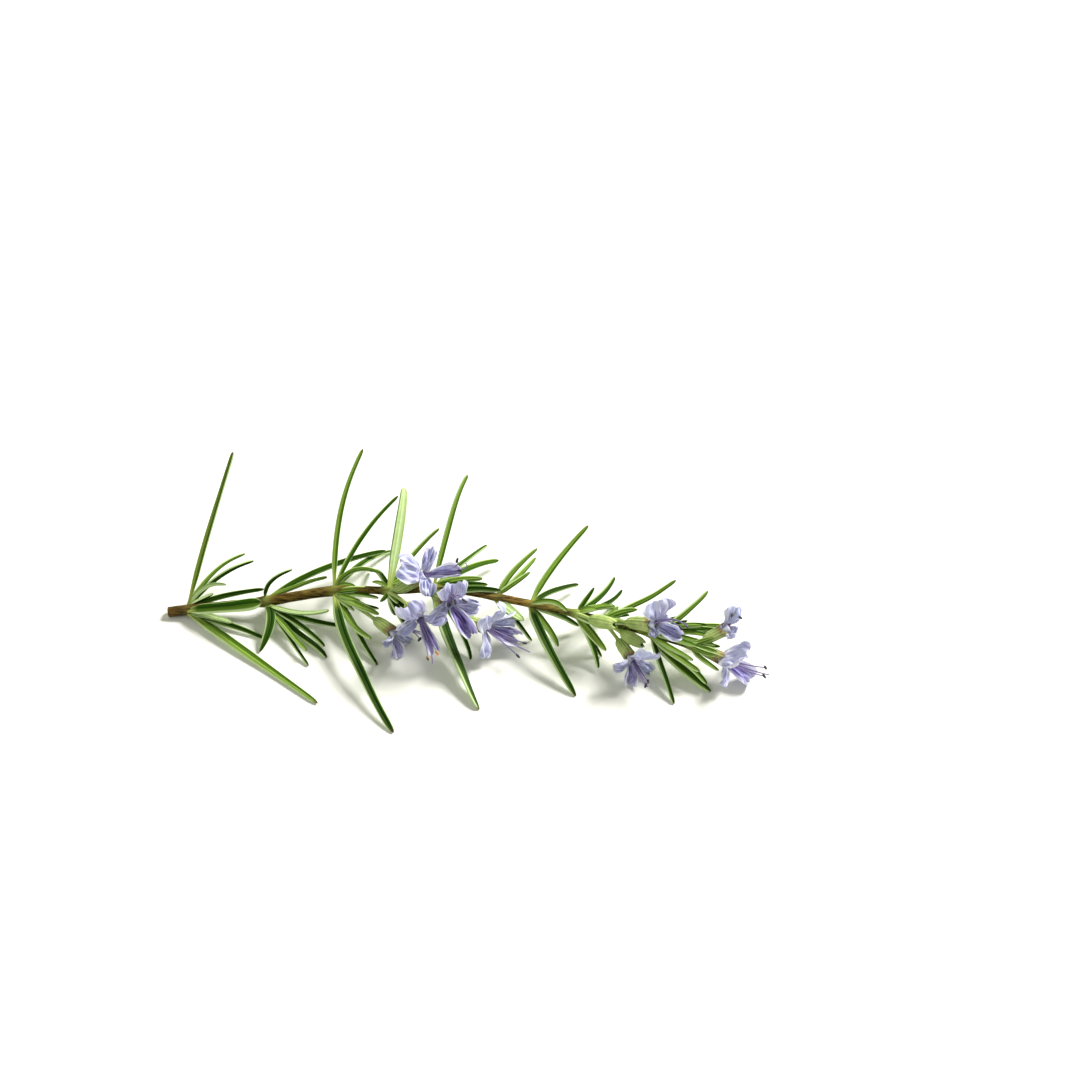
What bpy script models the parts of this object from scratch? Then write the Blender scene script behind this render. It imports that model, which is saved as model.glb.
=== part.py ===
"""A cut sprig of rosemary in flower, lying on a flat surface.

The stem runs along +X from its cut end to the shoot tip, +Y is the far side and +Z is up.
The origin is under the middle of the sprig, on the surface that it lies on.
Measures are in millimetres and are turned into metres as the shapes are made.
"""
import math
import random
from dataclasses import dataclass, field, replace

import bmesh
import bpy
from mathutils import Matrix, Vector

MM = 0.001
SEED = 7
WELD = 0.0002

# Clearances and common sizes, mm
GAP = 0.32
COLLAR_WALL = 0.7
COLLAR_LENGTH = 2.4
COLLAR_SIDES = 10
LEAF_THICKNESS = 0.8
LEAF_ROOT = 0.7
LEAF_TIP = 0.42
MM_PER_RING = 6.0
PEDICEL_RADIUS = 0.6
CALYX_LENGTH = 4.8
CALYX_SIDES = 9
TUBE_RADIUS = 0.85
THROAT_RADIUS = 1.15
TUBE_LENGTH = 4.8
CALYX_RIM = -2.0
PETAL_THICKNESS = 0.6
FILAMENT_RADIUS = 0.3
SET_DOWN = Vector((0.9, -1.8, 0.0))

# The stem, from the cut end to the shoot tip: place of its middle and its thickness, mm
STEM = {
    "cut": ((-78.3, 4.2, 1.2), 2.7),
    "whorl_0": ((-73.0, 4.4, 2.0), 2.8),
    "below_1": ((-62.0, 4.8, 3.3), 2.5),
    "whorl_1": ((-52.5, 5.1, 4.6), 2.7),
    "below_2": ((-43.0, 6.0, 6.0), 2.6),
    "whorl_2": ((-34.2, 6.3, 7.6), 2.6),
    "below_3": ((-27.0, 5.6, 8.8), 2.0),
    "whorl_3": ((-19.9, 4.7, 9.6), 2.1),
    "whorl_4": ((-8.1, 4.6, 10.6), 2.0),
    "below_5": ((0.5, 3.4, 10.7), 1.9),
    "whorl_5": ((8.3, 1.8, 10.4), 2.0),
    "whorl_6": ((17.2, -0.1, 10.0), 1.9),
    "whorl_7": ((29.1, -2.9, 9.4), 1.8),
    "whorl_8": ((36.3, -4.9, 9.0), 1.7),
    "whorl_9": ((48.4, -8.6, 8.2), 1.6),
    "shoot_tip": ((58.6, -12.3, 7.6), 1.3),
    "end": ((60.6, -13.0, 7.5), 0.9),
}

# The way the upper side of a leaf looks
FACES = {
    "sky": Vector((0.15, -0.25, 1.0)),
    "front": Vector((0.1, -0.77, 0.64)),
    "back": Vector((-0.1, 0.77, -0.64)),
    "tip": Vector((1.0, -0.1, 0.3)),
}

STEM_BROWN = (0.125, 0.062, 0.024)
LEAF_GREEN = (0.055, 0.155, 0.020)
PETAL_LILAC = (0.42, 0.38, 0.72)


@dataclass
class Leaf:
    """One needle leaf: where its tip is from its whorl, and how its middle bows, mm."""
    tip: tuple
    bow: tuple = (0.0, 0.0, 0.0)
    width: float = 1.6
    face: str = "sky"


@dataclass
class Flower:
    """A calyx and its flower tube, from foot to mouth from the whorl, mm, and how it opens."""
    foot: tuple
    mouth: tuple
    petals: str = ""
    facing: tuple = (0.3, -0.8, 0.4)
    upward: tuple = (0.0, 0.6, 0.8)
    size: float = 1.0
    hood: float = 108.0


@dataclass
class Whorl:
    """The leaves and calyces that grow from one place on the stem."""
    leaves: list
    flowers: list = field(default_factory=list)


WHORLS = {
    "whorl_0": Whorl([
        Leaf((12.0, 30.0, 28.7), (-0.2, 0.3, 0.3), 1.6, "front"),
        Leaf((14.5, 13.6, 6.7), (-1.5, 1.0, 1.0), 1.2, "tip"),
        Leaf((16.5, 13.6, 3.7), (-0.5, 1.5, 1.0), 1.4, "front"),
        Leaf((10.0, 4.6, 4.7), (-0.5, 1.5, 1.5), 1.2, "back"),
        Leaf((6.5, 3.2, 2.7), (0.0, 0.0, 0.0), 1.1, "tip"),
        Leaf((35.5, -29.4, -1.5), (-0.5, -0.5, 0.0), 2.2, "sky"),
        Leaf((20.5, -8.5, -1.5), (0.0, 0.5, 0.3), 1.7, "sky"),
        Leaf((12.0, -5.0, 0.7), (0.0, 0.0, 0.5), 1.6, "back"),
        Leaf((20.0, -4.2, 5.2), (0.0, -0.9, 0.0), 3.2, "sky"),
        Leaf((19.6, 5.5, 1.8), (0.0, 1.0, 0.0), 1.6, "sky"),
    ]),
    "whorl_1": Whorl([
        Leaf((-1.0, -13.5, -4.1), (3.0, 2.0, 1.5), 2.2, "sky"),
        Leaf((7.5, 3.0, 9.5), (-2.0, 0.5, 0.5), 1.2, "front"),
        Leaf((17.0, -5.0, 2.5), (0.5, -1.5, -0.5), 1.2, "back"),
        Leaf((11.5, -15.0, -1.5), (1.0, -1.0, -1.0), 1.5, "back"),
        Leaf((16.5, -15.5, -4.1), (2.0, -1.0, -1.0), 2.2, "sky"),
        Leaf((16.0, -13.4, -2.0), (2.0, -0.5, 0.0), 1.6, "sky"),
        Leaf((12.0, -18.0, -4.2), (0.0, 0.0, 0.0), 1.2, "sky"),
        Leaf((20.5, -5.5, -3.5), (-0.5, -0.5, -0.5), 1.6, "sky"),
        Leaf((31.0, 16.0, 1.5), (0.5, 2.5, 0.5), 1.8, "sky"),
        Leaf((16.0, 5.5, 3.4), (1.0, 1.0, 0.0), 1.2, "sky"),
    ]),
    "whorl_2": Whorl([
        Leaf((7.0, 31.5, 20.5), (-2.4, 0.3, 0.3), 1.6, "front"),
        Leaf((16.0, 25.5, 8.5), (-1.5, 0.8, 0.4), 1.4, "front"),
        Leaf((16.5, -40.5, -7.2), (-2.8, 1.0, 1.5), 2.3, "sky"),
        Leaf((10.0, -14.0, -2.5), (-0.5, -1.0, -1.0), 1.9, "sky"),
        Leaf((11.5, -19.0, -7.2), (0.0, 0.0, 0.0), 1.6, "sky"),
        Leaf((12.6, 2.8, 3.6), (-1.0, 2.0, 2.0), 1.4, "sky"),
        Leaf((11.5, -3.6, -3.0), (0.0, -0.5, 0.0), 1.2, "sky"),
        Leaf((14.0, 19.5, -7.2), (0.0, 1.5, 1.5), 1.6, "sky"),
    ], [
        Flower((9.9, -7.8, -1.3), (16.3, -12.4, -2.8), "corolla_1",
               (0.6, -0.6, -0.2), (0.6, 0.2, 0.8), 0.85),
    ]),
    "whorl_3": Whorl([
        Leaf((3.5, 24.5, 12.5), (1.0, 3.5, 3.0), 2.7, "back"),
        Leaf((13.0, 14.5, 8.0), (-0.5, 1.0, 0.0), 1.4, "front"),
        Leaf((1.5, -3.0, -6.5), (0.0, -1.0, 0.0), 1.6, "sky"),
        Leaf((5.0, -6.0, -9.3), (0.0, -1.0, 1.0), 1.8, "sky"),
        Leaf((-6.0, 14.0, -9.2), (0.0, 1.0, 2.0), 1.6, "sky"),
    ], [
        Flower((3.0, -0.5, 1.6), (9.3, 1.2, 5.2), "corolla_2",
               (0.2, -0.3, 0.9), (-1.0, 0.0, 0.1), 1.1),
        Flower((3.8, -3.9, 1.4), (8.6, -11.8, 2.9), "corolla_4",
               (-0.1, -0.9, 0.2), (0.1, 0.4, 0.9), 0.95, 85.0),
    ]),
    "whorl_4": Whorl([
        Leaf((8.5, 27.5, 13.5), (0.0, 2.5, 2.0), 1.6, "front"),
        Leaf((12.0, -31.5, -10.3), (-0.5, -0.5, -0.5), 2.6, "sky"),
        Leaf((9.5, -15.5, -10.2), (2.5, -1.5, -1.0), 1.4, "sky"),
        Leaf((16.5, 16.5, -8.5), (0.0, 1.0, 1.0), 1.9, "sky"),
        Leaf((13.5, 18.5, -4.5), (0.0, 0.0, 1.0), 1.4, "sky"),
        Leaf((12.0, 5.5, -2.5), (0.0, 1.0, 0.0), 1.4, "back"),
    ], [
        Flower((-0.4, -3.2, 1.7), (4.4, -8.8, 4.6), "corolla_3",
               (0.35, -0.8, 0.4), (-0.2, 0.6, 0.8), 1.05),
        Flower((7.4, -8.2, -2.0), (13.9, -11.2, -2.4), "corolla_5",
               (0.7, -0.6, 0.1), (-0.9, 0.45, 0.35), 1.1),
    ]),
    "whorl_5": Whorl([
        Leaf((10.5, 12.0, 5.5), (-0.7, 0.3, 0.3), 1.6, "front"),
        Leaf((10.0, 15.5, -2.5), (0.5, 0.0, 0.0), 1.6, "front"),
        Leaf((8.6, 6.4, 2.6), (0.5, 0.0, 0.5), 1.4, "front"),
        Leaf((7.0, -4.5, -4.0), (0.0, -0.5, 0.5), 2.7, "back"),
        Leaf((9.0, -6.5, -10.1), (0.0, 0.0, 1.0), 1.4, "sky"),
    ]),
    "whorl_6": Whorl([
        Leaf((15.0, 20.0, 8.0), (-1.5, -0.3, -0.3), 1.8, "front"),
        Leaf((12.5, 13.0, -8.0), (0.0, 0.5, 1.0), 1.6, "sky"),
        Leaf((11.5, -22.5, -9.7), (-2.0, 2.0, 1.5), 2.4, "sky"),
        Leaf((7.0, -8.5, -7.0), (1.0, -0.5, 0.0), 1.9, "sky"),
        Leaf((12.5, -1.0, -8.0), (0.0, 0.0, 1.0), 1.9, "sky"),
        Leaf((9.4, -5.0, 3.2), (0.5, 1.0, 1.4), 1.6, "sky"),
    ]),
    "whorl_7": Whorl([
        Leaf((4.5, 6.0, 3.5), (0.0, 0.0, 0.0), 1.4, "front"),
        Leaf((10.0, 13.5, -1.5), (1.5, 0.0, 0.0), 1.6, "front"),
        Leaf((12.0, 11.6, -4.5), (1.5, -0.5, -0.5), 1.4, "sky"),
        Leaf((7.4, -10.0, -2.5), (0.0, 0.0, 0.0), 1.8, "front"),
        Leaf((5.5, -11.5, -8.0), (1.0, 0.0, 0.0), 1.6, "sky"),
        Leaf((6.4, -7.0, -9.1), (0.0, 0.0, 0.0), 1.4, "sky"),
    ], [
        Flower((3.8, -2.2, 2.4), (11.0, -6.0, 5.0)),
    ]),
    "whorl_8": Whorl([
        Leaf((18.5, 9.5, 5.0), (0.5, -0.2, -0.2), 1.5, "front"),
        Leaf((3.5, 4.0, 1.0), (0.0, 0.0, 0.0), 2.2, "front"),
        Leaf((6.5, 3.5, -2.0), (0.0, 0.5, 0.0), 1.2, "front"),
        Leaf((2.0, 12.0, -8.7), (1.0, 0.0, 2.0), 1.5, "sky"),
    ], [
        Flower((4.4, -1.2, 2.4), (12.8, -4.5, 5.3), "corolla_6",
               (0.45, -0.7, 0.5), (-0.3, 0.7, 0.7), 1.1),
        Flower((2.1, -2.5, -1.8), (7.1, -10.4, -3.4), "corolla_7",
               (0.35, -0.8, -0.35), (0.25, 0.5, 0.8), 0.9, 70.0),
        Flower((4.4, -3.6, -0.6), (10.4, -7.8, -1.0)),
    ]),
    "whorl_9": Whorl([
        Leaf((14.5, 9.5, 6.0), (1.2, -0.4, -0.4), 1.6, "front"),
        Leaf((5.5, -16.5, -7.9), (0.0, 0.0, 0.0), 1.6, "sky"),
        Leaf((15.0, -12.5, -7.9), (0.0, -0.5, -0.5), 2.2, "sky"),
        Leaf((14.0, -12.0, -5.4), (1.0, 0.0, 0.0), 1.9, "sky"),
        Leaf((12.0, -10.5, -2.0), (0.0, -0.5, 0.0), 1.9, "sky"),
        Leaf((9.0, 0.5, 5.0), (0.0, 0.0, 0.5), 1.2, "front"),
        Leaf((18.6, 5.4, -3.2), (0.0, 0.5, 0.5), 1.6, "front"),
        Leaf((16.6, 3.6, -4.4), (0.0, 0.5, 0.0), 1.4, "sky"),
        Leaf((8.0, 11.0, -7.9), (1.0, 1.0, 1.5), 1.5, "sky"),
    ]),
    "shoot_tip": Whorl([
        Leaf((7.5, 2.0, -2.5), (0.0, 0.5, 0.0), 1.4, "sky"),
        Leaf((6.0, -4.5, 2.5), (0.0, -0.5, 0.0), 1.4, "front"),
        Leaf((6.8, -5.6, -2.6), (0.0, -0.5, 0.0), 1.4, "sky"),
    ], [
        Flower((2.7, 0.0, -1.0), (8.5, -2.8, -1.8), "corolla_8",
               (0.85, -0.35, 0.1), (0.0, 0.25, 1.0), 1.15, 55.0),
        Flower((3.2, 1.8, 0.6), (9.4, 4.3, 2.4), "corolla_9",
               (0.5, -0.3, 0.8), (-0.1, 0.8, 0.6), 0.7),
    ]),
}


def clear_scene():
    """Remove whatever the file holds."""
    for item in list(bpy.data.objects):
        bpy.data.objects.remove(item, do_unlink=True)


def material(name, colour, roughness):
    """Make a plain Principled material."""
    made = bpy.data.materials.new(name)
    made.use_nodes = True
    shader = made.node_tree.nodes["Principled BSDF"]
    shader.inputs["Base Color"].default_value = (*colour, 1.0)
    shader.inputs["Roughness"].default_value = roughness
    shader.inputs["Metallic"].default_value = 0.0
    return made


def mesh_object(name, mesh, collection):
    """Put a mesh into the scene as a named object."""
    made = bpy.data.objects.new(name, mesh)
    collection.objects.link(made)
    return made


def as_mesh(source, name, collection, weld=True):
    """Turn a curve or an object with modifiers into a plain closed mesh in place."""
    bpy.context.view_layer.update()
    evaluated = source.evaluated_get(bpy.context.evaluated_depsgraph_get())
    mesh = bpy.data.meshes.new_from_object(evaluated)
    shape = bmesh.new()
    shape.from_mesh(mesh)
    if weld:
        bmesh.ops.remove_doubles(shape, verts=shape.verts, dist=WELD * MM)
        bmesh.ops.recalc_face_normals(shape, faces=shape.faces)
    shape.transform(source.matrix_world)
    shape.to_mesh(mesh)
    shape.free()
    bpy.data.objects.remove(source, do_unlink=True)
    return mesh_object(name, mesh, collection)


def combine(body, others, operation, collection):
    """Join other solids to a body, or cut them from it, with one Boolean on a collection."""
    group = bpy.data.collections.new("operands")
    bpy.context.scene.collection.children.link(group)
    for other in others:
        collection.objects.unlink(other)
        group.objects.link(other)
    boolean = body.modifiers.new("join", "BOOLEAN")
    boolean.operation = operation
    boolean.operand_type = "COLLECTION"
    boolean.collection = group
    boolean.solver = "MANIFOLD"
    joined = as_mesh(body, body.name, collection, weld=False)
    for other in list(group.objects):
        bpy.data.objects.remove(other, do_unlink=True)
    bpy.data.collections.remove(group)
    return joined


def keep_one_body(item):
    """Drop loose scraps, so that the largest connected body is left, in triangles."""
    shape = bmesh.new()
    shape.from_mesh(item.data)
    bmesh.ops.triangulate(shape, faces=shape.faces)
    waiting = set(shape.verts)
    bodies = []
    while waiting:
        stack = [waiting.pop()]
        body = set(stack)
        while stack:
            for edge in stack.pop().link_edges:
                for vert in edge.verts:
                    if vert in waiting:
                        waiting.discard(vert)
                        body.add(vert)
                        stack.append(vert)
        bodies.append(body)
    bodies.sort(key=len)
    for body in bodies[:-1]:
        bmesh.ops.delete(shape, geom=list(body), context="VERTS")
    shape.to_mesh(item.data)
    shape.free()


def stem_points():
    """The stem's centre line as a smooth curve through its stations, with its radii."""
    places = [Vector(place) + SET_DOWN for place, _ in STEM.values()]
    radii = [thickness / 2 for _, thickness in STEM.values()]
    points = []
    last = len(places) - 1
    for index in range(last):
        before = places[max(index - 1, 0)]
        start, stop = places[index], places[index + 1]
        after = places[min(index + 2, last)]
        steps = 2 if (stop - start).length > 5.0 else 1
        for step in range(steps):
            t = step / steps
            bend = (2 * start + (stop - before) * t
                    + (2 * before - 5 * start + 4 * stop - after) * t * t
                    + (3 * start - before - 3 * stop + after) * t ** 3)
            points.append((bend / 2, radii[index] * (1 - t) + radii[index + 1] * t))
    points.append((places[last], radii[last]))
    return points


def tube(name, points, collection, sides=2):
    """A tapered tube with round caps through (place, radius) points, mm."""
    line = bpy.data.curves.new(name, "CURVE")
    line.dimensions = "3D"
    line.bevel_depth = MM
    line.bevel_resolution = sides
    line.use_fill_caps = True
    spline = line.splines.new("POLY")
    spline.points.add(len(points) - 1)
    for target, (place, radius) in zip(spline.points, points):
        target.co = (*(place * MM), 1.0)
        target.radius = radius
    made = bpy.data.objects.new(name, line)
    collection.objects.link(made)
    return as_mesh(made, name, collection)


def stem_tube(name, grow, collection):
    """The stem, or its shape grown by a clearance that also runs past both ends."""
    points = [(place, radius + grow) for place, radius in stem_points()]
    if grow:
        for end, inner in ((0, 1), (-1, -2)):
            outward = (points[end][0] - points[inner][0]).normalized()
            points[end] = (points[end][0] + outward * 2 * grow, points[end][1])
    return tube(name, points, collection)


def station(name):
    """Where a whorl sits on the stem, the stem's direction there and its radius, mm."""
    names = list(STEM)
    index = names.index(name)
    place = Vector(STEM[name][0]) + SET_DOWN
    ahead = Vector(STEM[names[index + 1]][0])
    behind = Vector(STEM[names[index - 1]][0])
    return place, (ahead - behind).normalized(), STEM[name][1] / 2


def frame_matrix(place, along, upward):
    """A frame at a place, mm, whose Z runs along a direction and whose Y is nearest upward."""
    z_axis = along.normalized()
    y_axis = (upward - z_axis * upward.dot(z_axis)).normalized()
    x_axis = y_axis.cross(z_axis)
    turn = Matrix((x_axis, y_axis, z_axis)).transposed().to_4x4()
    return Matrix.Translation(place * MM) @ turn


def collar(name, place, along, radius, collection):
    """The ring round the stem where the leaf bases of a whorl meet."""
    shape = bmesh.new()
    outer = radius + GAP + COLLAR_WALL
    profile = ((-0.5, 0.82), (-0.15, 1.0), (0.2, 1.0), (0.5, 0.85))
    rings = []
    for height, part in profile:
        ring = bmesh.ops.create_circle(shape, segments=COLLAR_SIDES, radius=outer * part * MM)
        bmesh.ops.translate(shape, verts=ring["verts"], vec=(0, 0, height * COLLAR_LENGTH * MM))
        rings.append(ring["verts"])
    edges = list(shape.edges)
    bmesh.ops.bridge_loops(shape, edges=edges)
    for ring in (rings[0], rings[-1]):
        bmesh.ops.contextual_create(shape, geom=ring)
    bmesh.ops.recalc_face_normals(shape, faces=shape.faces)
    shape.transform(frame_matrix(place, along, Vector((0, 0, 1))))
    mesh = bpy.data.meshes.new(name)
    shape.to_mesh(mesh)
    shape.free()
    return mesh_object(name, mesh, collection)


def collar_point(place, along, radius, reach):
    """Where a stalk or a leaf that reaches one way leaves the ring round the stem, mm."""
    outward = (reach - along * reach.dot(along)).normalized()
    return place + outward * (radius + GAP + 0.15)


def leaf_section(width, collection):
    """The flattened six-sided section of a leaf, mm."""
    half, rise = width / 2, LEAF_THICKNESS / 2
    outline = ((-half, 0), (-half * 0.6, -rise), (half * 0.6, -rise),
               (half, 0), (half * 0.6, rise), (-half * 0.6, rise))
    line = bpy.data.curves.new("leaf_section", "CURVE")
    spline = line.splines.new("POLY")
    spline.points.add(len(outline) - 1)
    for target, (x, y) in zip(spline.points, outline):
        target.co = (x * MM, y * MM, 0.0, 1.0)
    spline.use_cyclic_u = True
    made = bpy.data.objects.new("leaf_section", line)
    collection.objects.link(made)
    return made


def leaf_swell(t):
    """How full a leaf is at a fraction of its length, from its narrow root to its tip."""
    if t < 0.2:
        return LEAF_ROOT + (1.0 - LEAF_ROOT) * t / 0.2
    if t < 0.8:
        return 1.0
    return 1.0 - (1.0 - LEAF_TIP) * ((t - 0.8) / 0.2) ** 2


def leaf(name, form, place, along, radius, collection):
    """One leaf: a flattened tapered blade on an arc from the collar to its tip."""
    reach = Vector(form.tip)
    root = collar_point(place, along, radius, reach)
    tip = place + reach
    chord = tip - root
    x_axis = chord.normalized()
    hint = FACES[form.face]
    z_axis = (hint - x_axis * hint.dot(x_axis)).normalized()
    y_axis = z_axis.cross(x_axis)
    turn = Matrix((x_axis, y_axis, z_axis))
    handle = turn @ (chord / 2 + 2 * Vector(form.bow))
    stop = turn @ chord
    section = leaf_section(form.width, collection)
    line = bpy.data.curves.new(name, "CURVE")
    line.dimensions = "3D"
    line.twist_mode = "Z_UP"
    line.bevel_mode = "OBJECT"
    line.bevel_object = section
    line.use_fill_caps = True
    rings = 4 + int(chord.length / MM_PER_RING)
    spline = line.splines.new("POLY")
    spline.points.add(rings - 1)
    for index, target in enumerate(spline.points):
        t = index / (rings - 1)
        t = t + 0.25 * t * (1 - t)
        target.co = (*((2 * t * (1 - t) * handle + t * t * stop) * MM), 1.0)
        target.radius = leaf_swell(t)
    made = bpy.data.objects.new(name, line)
    collection.objects.link(made)
    made.matrix_world = Matrix.Translation(root * MM) @ turn.transposed().to_4x4()
    made = as_mesh(made, name, collection)
    bpy.data.objects.remove(section, do_unlink=True)
    return made


def turned(name, profile, matrix, collection, sides=CALYX_SIDES):
    """A solid turned from (radius, height) points, top to bottom, mm, in its own frame."""
    mesh = bpy.data.meshes.new(name)
    corners = [(radius * MM, 0.0, height * MM) for radius, height in profile]
    mesh.from_pydata(corners, [(i, i + 1) for i in range(len(corners) - 1)], [])
    made = mesh_object(name, mesh, collection)
    screw = made.modifiers.new("turn", "SCREW")
    screw.steps = screw.render_steps = sides
    screw.use_merge_vertices = True
    screw.merge_threshold = 0.001 * MM
    made.matrix_world = matrix
    return as_mesh(made, name, collection)


def tube_frame(form, place):
    """The frame of a calyx and flower tube: origin at its mouth, Z out of the tube."""
    foot, mouth = place + Vector(form.foot), place + Vector(form.mouth)
    return frame_matrix(mouth, mouth - foot, Vector(form.upward))


def face_frame(form, place):
    """The frame of the open lobes: origin at the mouth, Z to where they face, Y to the upper lip."""
    return frame_matrix(place + Vector(form.mouth), Vector(form.facing), Vector(form.upward))


def calyx(name, form, place, along, radius, collection):
    """The green bell that holds a flower, and the stalk from the stem to its foot."""
    base = CALYX_RIM - CALYX_LENGTH
    if form.petals:
        top = ((0.0, CALYX_RIM), (1.75, CALYX_RIM))
    else:
        top = ((0.0, CALYX_RIM + 1.3), (0.8, CALYX_RIM + 1.0), (1.5, CALYX_RIM))
    profile = (*top, (1.7, CALYX_RIM - 1.2), (1.45, base + 1.6), (0.9, base + 0.4), (0.0, base))
    bell = turned(name, profile, tube_frame(form, place), collection)
    foot = tube_frame(form, place) @ Vector((0, 0, (base + 0.8) * MM)) / MM
    root = collar_point(place, along, radius, foot - place)
    stalk = tube(name + "_stalk", [(root, PEDICEL_RADIUS), (foot, PEDICEL_RADIUS)],
                 collection, sides=1)
    return [bell, stalk]


def socket(form, place, collection):
    """The clearance that the flower tube needs inside its calyx."""
    wide, deep = TUBE_RADIUS + GAP, -TUBE_LENGTH - GAP
    profile = ((0.0, 1.0), (wide, 1.0), (wide, deep), (0.0, deep))
    return turned("socket", profile, tube_frame(form, place), collection)


@dataclass
class Lobe:
    """One petal lobe: how it turns round the tube, its size, mm, and its opening angles."""
    turn: float
    length: float
    width: float
    open_from: float
    open_to: float
    claw: float = 0.6
    notch: float = 0.0
    cup: float = 0.5
    cells: tuple = (4, 4)


LOBES = (
    Lobe(0.0, 8.4, 7.6, 22.0, 108.0, claw=0.32, notch=0.25, cup=-0.7),
    Lobe(105.0, 6.8, 3.2, 30.0, 100.0, claw=0.6, cells=(2, 3)),
    Lobe(-105.0, 6.8, 3.2, 30.0, 100.0, claw=0.6, cells=(2, 3)),
    Lobe(180.0, 9.0, 5.6, 35.0, 80.0, claw=0.3, cup=1.2),
)


def petal(name, form, size, matrix, collection):
    """A lobe: a grid bent along an arc away from the tube, hollowed across, and thickened."""
    shape = bmesh.new()
    bmesh.ops.create_grid(shape, x_segments=form.cells[0], y_segments=form.cells[1], size=1.0)
    start, swing = math.radians(form.open_from), math.radians(form.open_to - form.open_from)
    for vert in shape.verts:
        across, t = vert.co.x, (vert.co.y + 1) / 2
        t *= 1 - form.notch * (1 - abs(across)) ** 2
        spread = form.claw + (1 - form.claw) * math.sin(math.pi * min(t * 0.62, 0.5))
        spread *= math.sqrt(max(1 - max(t - 0.62, 0.0) ** 2 / 0.2, 0.0))
        angle = start + swing * t
        arc = form.length * size / swing
        out = 0.5 + arc * (math.cos(start) - math.cos(angle))
        ahead = -0.5 + arc * (math.sin(angle) - math.sin(start))
        hollow = form.cup * size * across * across * t
        vert.co = Vector((across * form.width * size / 2 * spread,
                          out - hollow * math.cos(angle),
                          ahead + hollow * math.sin(angle))) * MM
    mesh = bpy.data.meshes.new(name)
    shape.to_mesh(mesh)
    shape.free()
    made = mesh_object(name, mesh, collection)
    solid = made.modifiers.new("thickness", "SOLIDIFY")
    solid.thickness = PETAL_THICKNESS * MM
    solid.offset = 0.0
    made.matrix_world = matrix @ Matrix.Rotation(math.radians(form.turn), 4, "Z")
    return as_mesh(made, name, collection)


def filament(name, side, size, matrix, collection):
    """A long stamen that arches out of the mouth, forward and down at its end."""
    points = []
    steps = 4
    for index in range(steps + 1):
        t = index / steps
        place = Vector((side * (0.35 + 0.9 * t), 0.2 + 4.5 * size * math.sin(math.pi * t * 0.62),
                        -0.5 + 9.0 * size * t))
        points.append((matrix @ (place * MM) / MM, FILAMENT_RADIUS))
    return tube(name, points, collection, sides=0)


def corolla(name, form, place, collection, draw):
    """The flower: a tube in its calyx, a split upper lip, two side lobes and a spoon below."""
    profile = ((0.0, 0.2), (THROAT_RADIUS, 0.2), (TUBE_RADIUS, CALYX_RIM),
               (TUBE_RADIUS, -TUBE_LENGTH), (0.0, -TUBE_LENGTH))
    body = turned(name, profile, tube_frame(form, place), collection, sides=8)
    matrix = face_frame(form, place)
    lobes = (replace(LOBES[0], open_to=form.hood), *LOBES[1:])
    pieces = []
    for index, lobe in enumerate(lobes):
        opened = draw.uniform(-8.0, 8.0)
        one = replace(lobe, turn=lobe.turn + draw.uniform(-6.0, 6.0),
                      open_to=lobe.open_to + opened)
        pieces.append(petal(f"{name}_lobe_{index}", one, form.size, matrix, collection))
    for side in (-1, 1):
        pieces.append(filament(f"{name}_filament", side, form.size, matrix, collection))
    return combine(body, pieces, "UNION", collection)


def floor_slab(collection):
    """A block below the surface, which trims what would dip under it to a flat spot."""
    shape = bmesh.new()
    bmesh.ops.create_cube(shape, size=1.0)
    bmesh.ops.scale(shape, vec=(0.3, 0.3, 0.02), verts=shape.verts)
    bmesh.ops.translate(shape, vec=(0, 0, -0.01), verts=shape.verts)
    mesh = bpy.data.meshes.new("floor_slab")
    shape.to_mesh(mesh)
    shape.free()
    return mesh_object("floor_slab", mesh, collection)


def whorl(name, form, collection):
    """The leaves, stalks and calyces of one place, joined round the stem as one body."""
    place, along, radius = station(name)
    body = collar(name, place, along, radius, collection)
    pieces = []
    for index, one in enumerate(form.leaves):
        pieces.append(leaf(f"{name}_leaf_{index}", one, place, along, radius, collection))
    for index, one in enumerate(form.flowers):
        pieces.extend(calyx(f"{name}_calyx_{index}", one, place, along, radius, collection))
    body = combine(body, pieces, "UNION", collection)
    cutters = [stem_tube("stem_clearance", GAP, collection), floor_slab(collection)]
    for one in form.flowers:
        if one.petals:
            cutters.append(socket(one, place, collection))
    return combine(body, cutters, "DIFFERENCE", collection)


def finish(item, finish_material):
    """Clean a node's mesh and give it its material."""
    keep_one_body(item)
    item.data.materials.clear()
    item.data.materials.append(finish_material)
    item.data.set_sharp_from_angle(angle=math.radians(40))


def main():
    """Build the stem, the whorls of leaves and the flowers."""
    clear_scene()
    collection = bpy.data.collections.new("rosemary_sprig")
    bpy.context.scene.collection.children.link(collection)
    bark = material("stem_brown", STEM_BROWN, 0.8)
    green = material("leaf_green", LEAF_GREEN, 0.45)
    lilac = material("petal_lilac", PETAL_LILAC, 0.6)
    draw = random.Random(SEED)
    stem = stem_tube("stem", 0.0, collection)
    finish(combine(stem, [floor_slab(collection)], "DIFFERENCE", collection), bark)
    for name, form in WHORLS.items():
        leafy = f"leaf_{name}" if name != "shoot_tip" else name
        body = whorl(name, form, collection)
        body.name = leafy
        finish(body, green)
        place, _, _ = station(name)
        for one in form.flowers:
            if one.petals:
                flower = corolla(one.petals, one, place, collection, draw)
                flower = combine(flower, [floor_slab(collection)], "DIFFERENCE", collection)
                finish(flower, lilac)


main()
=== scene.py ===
"""A cut sprig of rosemary in flower, lying on a white surface.

The stem runs along +X from its cut end to the shoot tip, +Y is the far side and +Z is up.
Measures are in millimetres and are turned into metres as each piece becomes a mesh.
"""

import logging
import math
import random
from dataclasses import dataclass, field, replace
from enum import Enum

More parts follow.
